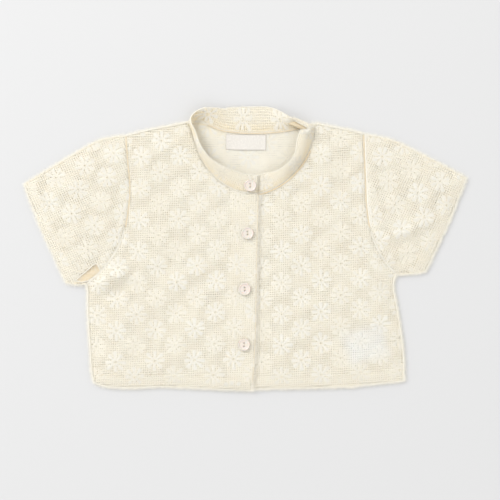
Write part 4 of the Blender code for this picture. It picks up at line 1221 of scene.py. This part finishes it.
edges = {
    # lift off the cloth's middle, half width, half height and ripple of each kind of roll
    "hem": (-0.35, 0.5, 0.7, 0.12), "lap": (-0.35, 0.5, 0.7, 0.2), "plain": (0.0, 0.5, 0.5, 0.12),
    "side": (0.75, 0.6, 1.0, 0.12), "cuff": (-0.3, 0.5, 0.7, 0.12), "sleeveFold": (0.0, 0.4, 0.5, 0.12),
    "armhole": (0.0, 0.85, 0.4, 0.18), "seamShade": (0.05, 0.85, 0.4, 0.18),
    "besideSeam": (0.25, 0.9, 0.5, 0.18),
    "gapShadeStrip": (0.8, 4.7, 0.35, 0.12), "gapRim": (0.1, 0.55, 0.45, 0.12),
    "backNeck": (0.95, 0.6, 0.35, 0.18), "leftNeck": (1.35, 0.6, 0.4, 0.18),
    "seamShadeAbove": 18.0, "besideShift": (1.5, 0.0),
    # half width, half height and ripple of the rolls on the neckband
    "bandSeam": (0.75, 0.6, 0.18), "bandFold": (0.45, 0.5, 0.12), "bandCornerShade": (2.4, 1.8, 0.1),
    # painted shade: a golden strip on the lower layer, where shade falls in the gap at the underarm
    "gapPath": [(-166.0, -30.8), (-157.0, -28.3), (-150.5, -25.2), (-144.5, -20.6), (-138.6, -14.4)],
    "stitch": (2.9, 2.0, 0.22),  # pitch, length and radius
    "stitchLift": 0.35, "stitchInset": 0.6, "lapStitchInset": 0.8,
}


def rollPiece(name, look, *rows):
    # One piece of rolls that lie on the cloth; each row is a kind of roll, its path and the cloth's middle
    parts = []
    for kind, path, middle in rows:
        lift, *size = edges[kind]
        parts.append(rollAlong(onCloth(path, middle, lift), *size))
    return meshPiece(name, *joinedArrays(parts), look, "lace")


rightEdge, leftEdge = (
    rollPiece(
        side.lower() + "FrontEdges", edgeLitYarn, ("hem", hem, middle),
        ("side", line["side" + side], backMiddle), ("side", line["shoulder" + side], backMiddle),
    )
    for side, hem, middle in (("Right", hemRight, rightMiddle), ("Left", line["hemLeft"], leftMiddle))
)
backEdge = rollPiece("backEdges", edgeLitYarn, ("plain", np.vstack([hemRight, line["hemLeft"][1:]]), backMiddle))

sleeveEdge, sleeveSeamShade = {}, {}
for side in ("Right", "Left"):
    upper, lower = sleeveUpper(side), sleeveLower(side)
    cuff, armhole = line["cuff" + side], line["armhole" + side]
    # higher up the armhole, a tan roll of painted shade follows the seam
    high = armhole[:, 1] > edges["seamShadeAbove"]
    rows = [
        ("cuff", cuff, upper), ("plain", cuff, lower), ("sleeveFold", line["sleeveTop" + side], upper),
        ("sleeveFold", line["sleeveUnder" + side], upper), ("armhole", armhole[~high], upper),
    ]
    if side == "Left":
        rows.append(("besideSeam", armhole[high] + edges["besideShift"], upper))
    sleeveEdge[side] = rollPiece(side.lower() + "SleeveEdges", edgeLitYarn, *rows)
    sleeveSeamShade[side] = rollPiece(side.lower() + "ArmholeSeam", tanShadeYarn, ("seamShade", armhole[high], upper))

gapPath = smoothLine(edges["gapPath"], 1.5)
gapShade = rollPiece("underarmShade", goldShadeYarn, ("gapShadeStrip", gapPath, sleeveLower("Right")))
gapRim = rollPiece("underarmRim", edgeLitYarn, ("gapRim", underarmGap, sleeveUpper("Right")))
# the lapped edge's fold, tan for painted shade beside it
lapFold = rollPiece("lapFold", lapShadeYarn, ("lap", line["lapEdge"], rightMiddle))
seamS = np.arange(0, bandLength, 0.75)
bandRolls = [
    rollAlong(bandPoint(seamS, np.full_like(seamS, w), 0.0), *edges[kind])
    for w, kind in ((0.0, "bandSeam"), (1.0, "bandFold"))
]
bandEdge = meshPiece("neckbandEdges", *joinedArrays(bandRolls), edgeLitYarn, "lace")
bandSeam = rollPiece(  # painted shade: a tan roll where shade falls along the seam at the back of the neck and down the left front
    "neckbandSeamShade", tanShadeYarn,
    ("backNeck", line["necklineBack"][6:-4] - (0.0, 0.5), backMiddle),
    ("leftNeck", line["necklineLeft"][9:-9] + (1.0, -0.9), underLow),
)
bandCornerShade = meshPiece(  # the doubled lace bunches where the band turns over at the back, golden for the painted shade in its hollow
    "neckbandCorner", *rollAlong(np.array(neckband["bunched"]), *edges["bandCornerShade"]), goldShadeYarn, "lace",
)

# The stitched rows beside the hems, the lap and the cuffs
inside = {name: cloth[name] - edges["stitchInset"] for name in ("hem", "cuff")}
stitchRows = [
    (hemRight + (0, inside["hem"]), rightMiddle),
    (line["hemLeft"] + (0, inside["hem"]), leftMiddle),
    (line["lapEdge"][2:-4] - (cloth["placket"] - edges["lapStitchInset"], 0), rightMiddle),
]
for side, inward in (("Right", -inside["cuff"]), ("Left", inside["cuff"])):
    cuff = line["cuff" + side]
    stitchRows.append(((cuff + rightOf(cuff) * inward)[2:-2], sleeveUpper(side)))
stitches = [
    stitchRow(onCloth(path, middle, edges["stitchLift"]), *edges["stitch"]) for path, middle in stitchRows
]
meshPiece("stitching", *joinedArrays(stitches), seamYarn, "lace")
print("edges and stitches made")


def satinLabel(name, label, look, cover=None):
    # Satin ribbon: a sheet (u, v) turned about its middle, with height bulge * sin^2(pi u) * (1 - v) and
    # raised ends, where it is sewn down. Under a cover it follows the cover's underside, and touches it.
    columns, rows = satin["columns"], satin["rows"]
    c, r = np.meshgrid(np.linspace(0, 1, columns), np.linspace(0, 1, rows))
    (mx, my), (width, height) = label["middle"], label["size"]
    ridge, reach = satin["sewnEnd"]
    wave = label["bulge"] * np.sin(math.pi * c) ** 2 * (1 - r) + satin["waver"] * np.sin(7 * c + 2 * r)
    top = label["base"] + wave + ridge * (bell(c, reach) + bell(1 - c, reach)) + satin["thickness"] / 2
    sag = satin["sag"] * np.sin(math.pi * c) * (1 - r) * label["bulge"]  # the free edge bows as it bulges
    x, y = turned(width * (c - 0.5), height * (r - 0.5) - sag, label["turn"])
    x, y = x + mx, y + my
    if cover:
        top = cover(x, y) + satin["intoCover"]
    points = np.vstack([
        np.stack([x, y, level], axis=-1).reshape(-1, 3) for level in (top, top - satin["thickness"])
    ])
    face, n = gridQuads(rows, columns), rows * columns
    index = np.arange(n).reshape(rows, columns)
    rim = np.concatenate([index[0], index[1:, -1], index[-1, -2::-1], index[-2:0:-1, 0]])
    side = np.column_stack([rim, np.roll(rim, -1), np.roll(rim, -1) + n, rim + n])[:, ::-1]
    uv = np.tile(pairs(width * c, height * r), (2, 1))
    return meshPiece(name, points, np.vstack([face, face[:, ::-1] + n, side]), look, "satin", uv)


def satinMaterial(name, colour):
    # Fine warp and weft: two crossed bands of the label's own coordinates, as bump and as shine
    made, tree, shader = plainMaterial(name, {
        "Base Color": (*colour, 1.0), "Sheen Weight": 0.15, "Specular IOR Level": 0.55,
    })
    warp = waveBands(tree, "X", scale=0.5, distortion=0.4)
    weave = summed(tree, warp, waveBands(tree, "Y", scale=0.9, distortion=0.4))
    inputs = {"Value": weave, "From Max": 2.0, "To Min": 0.32, "To Max": 0.46}
    tree.links.new(addNode(tree, "ShaderNodeMapRange", inputs).outputs["Result"], shader.inputs["Roughness"])
    bumped(tree, shader, weave, strength=0.15, distance=0.0001)
    return made


neckLabel = satinLabel("neckLabel", satin["neck"], satinMaterial("neckRibbon", (0.62, 0.59, 0.545)))
careLabel = satinLabel("careLabel", satin["care"], satinMaterial("careRibbon", (0.72, 0.72, 0.71)), underLow)

# Buttons: turned pearl discs with a raised rim, a dish and two holes, sewn on with a bar of thread

buttons = {
    "places": [(4.7, 60.4), (2.1, 14.7), (-0.6, -38.8), (-1.2, -92.0)],
    "radius": 5.8, "thick": 2.4, "rim": 1.2, "dish": 0.75, "sides": 48,
    "holeRadius": 0.72, "holeSpacing": 2.6, "holeSides": 24, "drillLength": 20.0,
    "topLift": 0.5, "lapTop": 52.6,  # the top one sits on the neckband, above the top of the lap
    "strands": (-0.3, 0.0, 0.3), "strandRadius": 0.17, "strandPoints": 17,
    "strandLift": 0.18, "strandDrop": 1.4, "strandPast": 0.05,
}


def buttonShape():
    # Profile (r, z) turned about the axis: a rounded base, a half circle for the lip and a dish
    r, z, rim, dish = buttons["radius"], buttons["thick"], buttons["rim"], buttons["dish"]
    a = np.linspace(0, math.pi, 9)
    profile = np.vstack([
        [(0.02, 0.0), (r - 1.2, 0.0), (r - 0.5, 0.15), (r - 0.12, 0.6)],
        np.column_stack([r - rim / 2 + rim / 2 * np.cos(a), z - rim / 2 + rim / 2 * np.sin(a)]),
        [(r - rim - 0.35, z - dish + 0.22), (r - rim - 0.8, z - dish + 0.05)],
        [(0.5 * r, z - dish), (0.02, z - dish)],
    ])
    turn = 2 * math.pi * np.arange(buttons["sides"]) / buttons["sides"]
    x, y = profile[:, :1] * np.cos(turn), profile[:, :1] * np.sin(turn)
    points = np.stack([x, y, np.broadcast_to(profile[:, 1:], x.shape)], axis=-1).reshape(-1, 3)
    return points, gridQuads(len(profile), buttons["sides"], wrap=True)


def pearlMaterial():
    # Smooth and coated, with a swirl between two pale browns
    made, tree, shader = plainMaterial("pearl", {
        "Roughness": 0.22, "Coat Weight": 0.6, "Coat Roughness": 0.08,
        "Subsurface Weight": 0.15, "Subsurface Scale": 0.001,
    })
    inputs = {"Vector": objectPlace(tree), "Scale": 320.0, "Distortion": 2.5}
    swirl = addNode(tree, "ShaderNodeTexNoise", inputs).outputs["Fac"]
    colour = mixedColour(tree, swirl, (0.62, 0.545, 0.48, 1.0), (0.68, 0.62, 0.555))
    tree.links.new(colour, shader.inputs["Base Color"])
    return made


def drilled(piece, place):
    # Two straight holes cut through the button by Booleans, which are applied at once
    for way in (-1, 1):
        bpy.ops.mesh.primitive_cylinder_add(
            vertices=buttons["holeSides"], radius=buttons["holeRadius"] * mm,
            depth=buttons["drillLength"] * mm,
            location=(place[0] * mm, (place[1] + way * buttons["holeSpacing"] / 2) * mm, place[2] * mm),
        )
        drill = bpy.context.object
        cut = piece.modifiers.new("hole", "BOOLEAN")
        cut.object = drill
        cut.operation = "DIFFERENCE"
        bpy.context.view_layer.update()
        graph = bpy.context.evaluated_depsgraph_get()
        finished = bpy.data.meshes.new_from_object(piece.evaluated_get(graph))
        piece.modifiers.clear()
        piece.data = finished
        bpy.data.objects.remove(drill)


pearl = pearlMaterial()
shape, shapeQuads = buttonShape()
buttonPieces = []
for number, (x, y) in enumerate(buttons["places"], 1):
    under = float(upperLow(np.array([x]), np.array([min(y, buttons["lapTop"])]))[0])
    base = under + cloth["doubled"] + cloth["seamGap"] + (buttons["topLift"] if number == 1 else 0.0)
    piece = meshPiece(f"pearlButton{number}", shape + (x, y, base), shapeQuads, pearl, "pearl")
    drilled(piece, (x, y, base))
    buttonPieces.append(piece)
    # Three strands of thread, each a bar that dives into both holes
    t = np.linspace(-1, 1, buttons["strandPoints"])
    along = y + t * (buttons["holeSpacing"] / 2 + buttons["strandPast"])
    height = base + buttons["thick"] - buttons["dish"] + buttons["strandLift"]
    height = height - buttons["strandDrop"] * np.abs(t) ** 8
    radius = buttons["strandRadius"]
    strands = [
        rollAlong(
            np.column_stack([np.full_like(t, x + shift), along, height]), radius, radius,
            ripple=0.0, sides=6, spacing=0.2,
        )
        for shift in buttons["strands"]
    ]
    meshPiece(f"buttonThread{number}", *joinedArrays(strands), seamYarn, "lace")
print("labels and buttons made")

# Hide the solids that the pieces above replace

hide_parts("back")
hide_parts("front_right")
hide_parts("front_left")
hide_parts("sleeve_right")
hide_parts("sleeve_left")
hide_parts("neckband")
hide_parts("neck_label")
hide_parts("care_label")
for number, piece in enumerate(buttonPieces, 1):
    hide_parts(f"button_{number}")


for side, loop in sleeveLoop.items():
    upperPieces = [sleeveDaisies[side], sleeveEdge[side], sleeveSeamShade[side], naps["sleeve" + side]]
    if side == "Right":
        upperPieces += [gapShade, gapRim]

# Floor, light and camera

stage = {
    "floorColour": (0.567, 0.567, 0.567), "floorSize": 6.0, "floorDrop": 0.0002,
    "skyStrength": 1.13, "skyColour": (1.0, 1.0, 1.0),
    "lampPlace": (-1.9, 1.9, 2.2), "lampSize": 1.5, "lampPower": 70.0,
    "centre": (4.5, -1.4), "level": 4.0, "seen": 480.0, "lens": 85.0, "sensor": 36.0,
}

bpy.ops.mesh.primitive_plane_add(size=stage["floorSize"], location=(0, 0, -stage["floorDrop"]))
floor = bpy.context.object
floor.name = "floor"
floorLook = {"Base Color": (*stage["floorColour"], 1.0), "Roughness": 0.7, "Specular IOR Level": 0.2}
floor.data.materials.append(plainMaterial("palePaper", floorLook)[0])

world = bpy.data.worlds.new("softStudio")
world.use_nodes = True
sky = world.node_tree.nodes["Background"]
sky.inputs["Color"].default_value = (*stage["skyColour"], 1.0)
sky.inputs["Strength"].default_value = stage["skyStrength"]
bpy.context.scene.world = world

lampData = bpy.data.lights.new("softbox", "AREA")
lampData.size = stage["lampSize"]
lampData.energy = stage["lampPower"]
lamp = bpy.data.objects.new("softbox", lampData)
lamp.location = stage["lampPlace"]
lamp.rotation_euler = (
    math.atan2(math.hypot(*stage["lampPlace"][:2]), stage["lampPlace"][2]),
    0.0,
    math.atan2(-stage["lampPlace"][0], stage["lampPlace"][1]) + math.pi,
)
bpy.context.scene.collection.objects.link(lamp)

cameraData = bpy.data.cameras.new("fromAbove")
cameraData.lens = stage["lens"]
cameraData.sensor_width = stage["sensor"]
cameraData.clip_start = 0.01
camera = bpy.data.objects.new("fromAbove", cameraData)
height = stage["level"] + stage["seen"] * stage["lens"] / stage["sensor"]  # so wide at the cloth's level
camera.location = (stage["centre"][0] * mm, stage["centre"][1] * mm, height * mm)
bpy.context.scene.collection.objects.link(camera)
bpy.context.scene.camera = camera
bpy.context.scene.view_settings.view_transform = "Standard"
bpy.context.scene.cycles.diffuse_bounces = 10  # pale cloth passes light on many times
bpy.context.scene.cycles.transmission_bounces = 12
bpy.context.scene.cycles.max_bounces = 20

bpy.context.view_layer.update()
shown = sum(len(polygon.vertices) - 2 for piece in bpy.data.objects if piece.type == "MESH"
            for polygon in piece.data.polygons)
print("scene ready,", shown, "triangles")
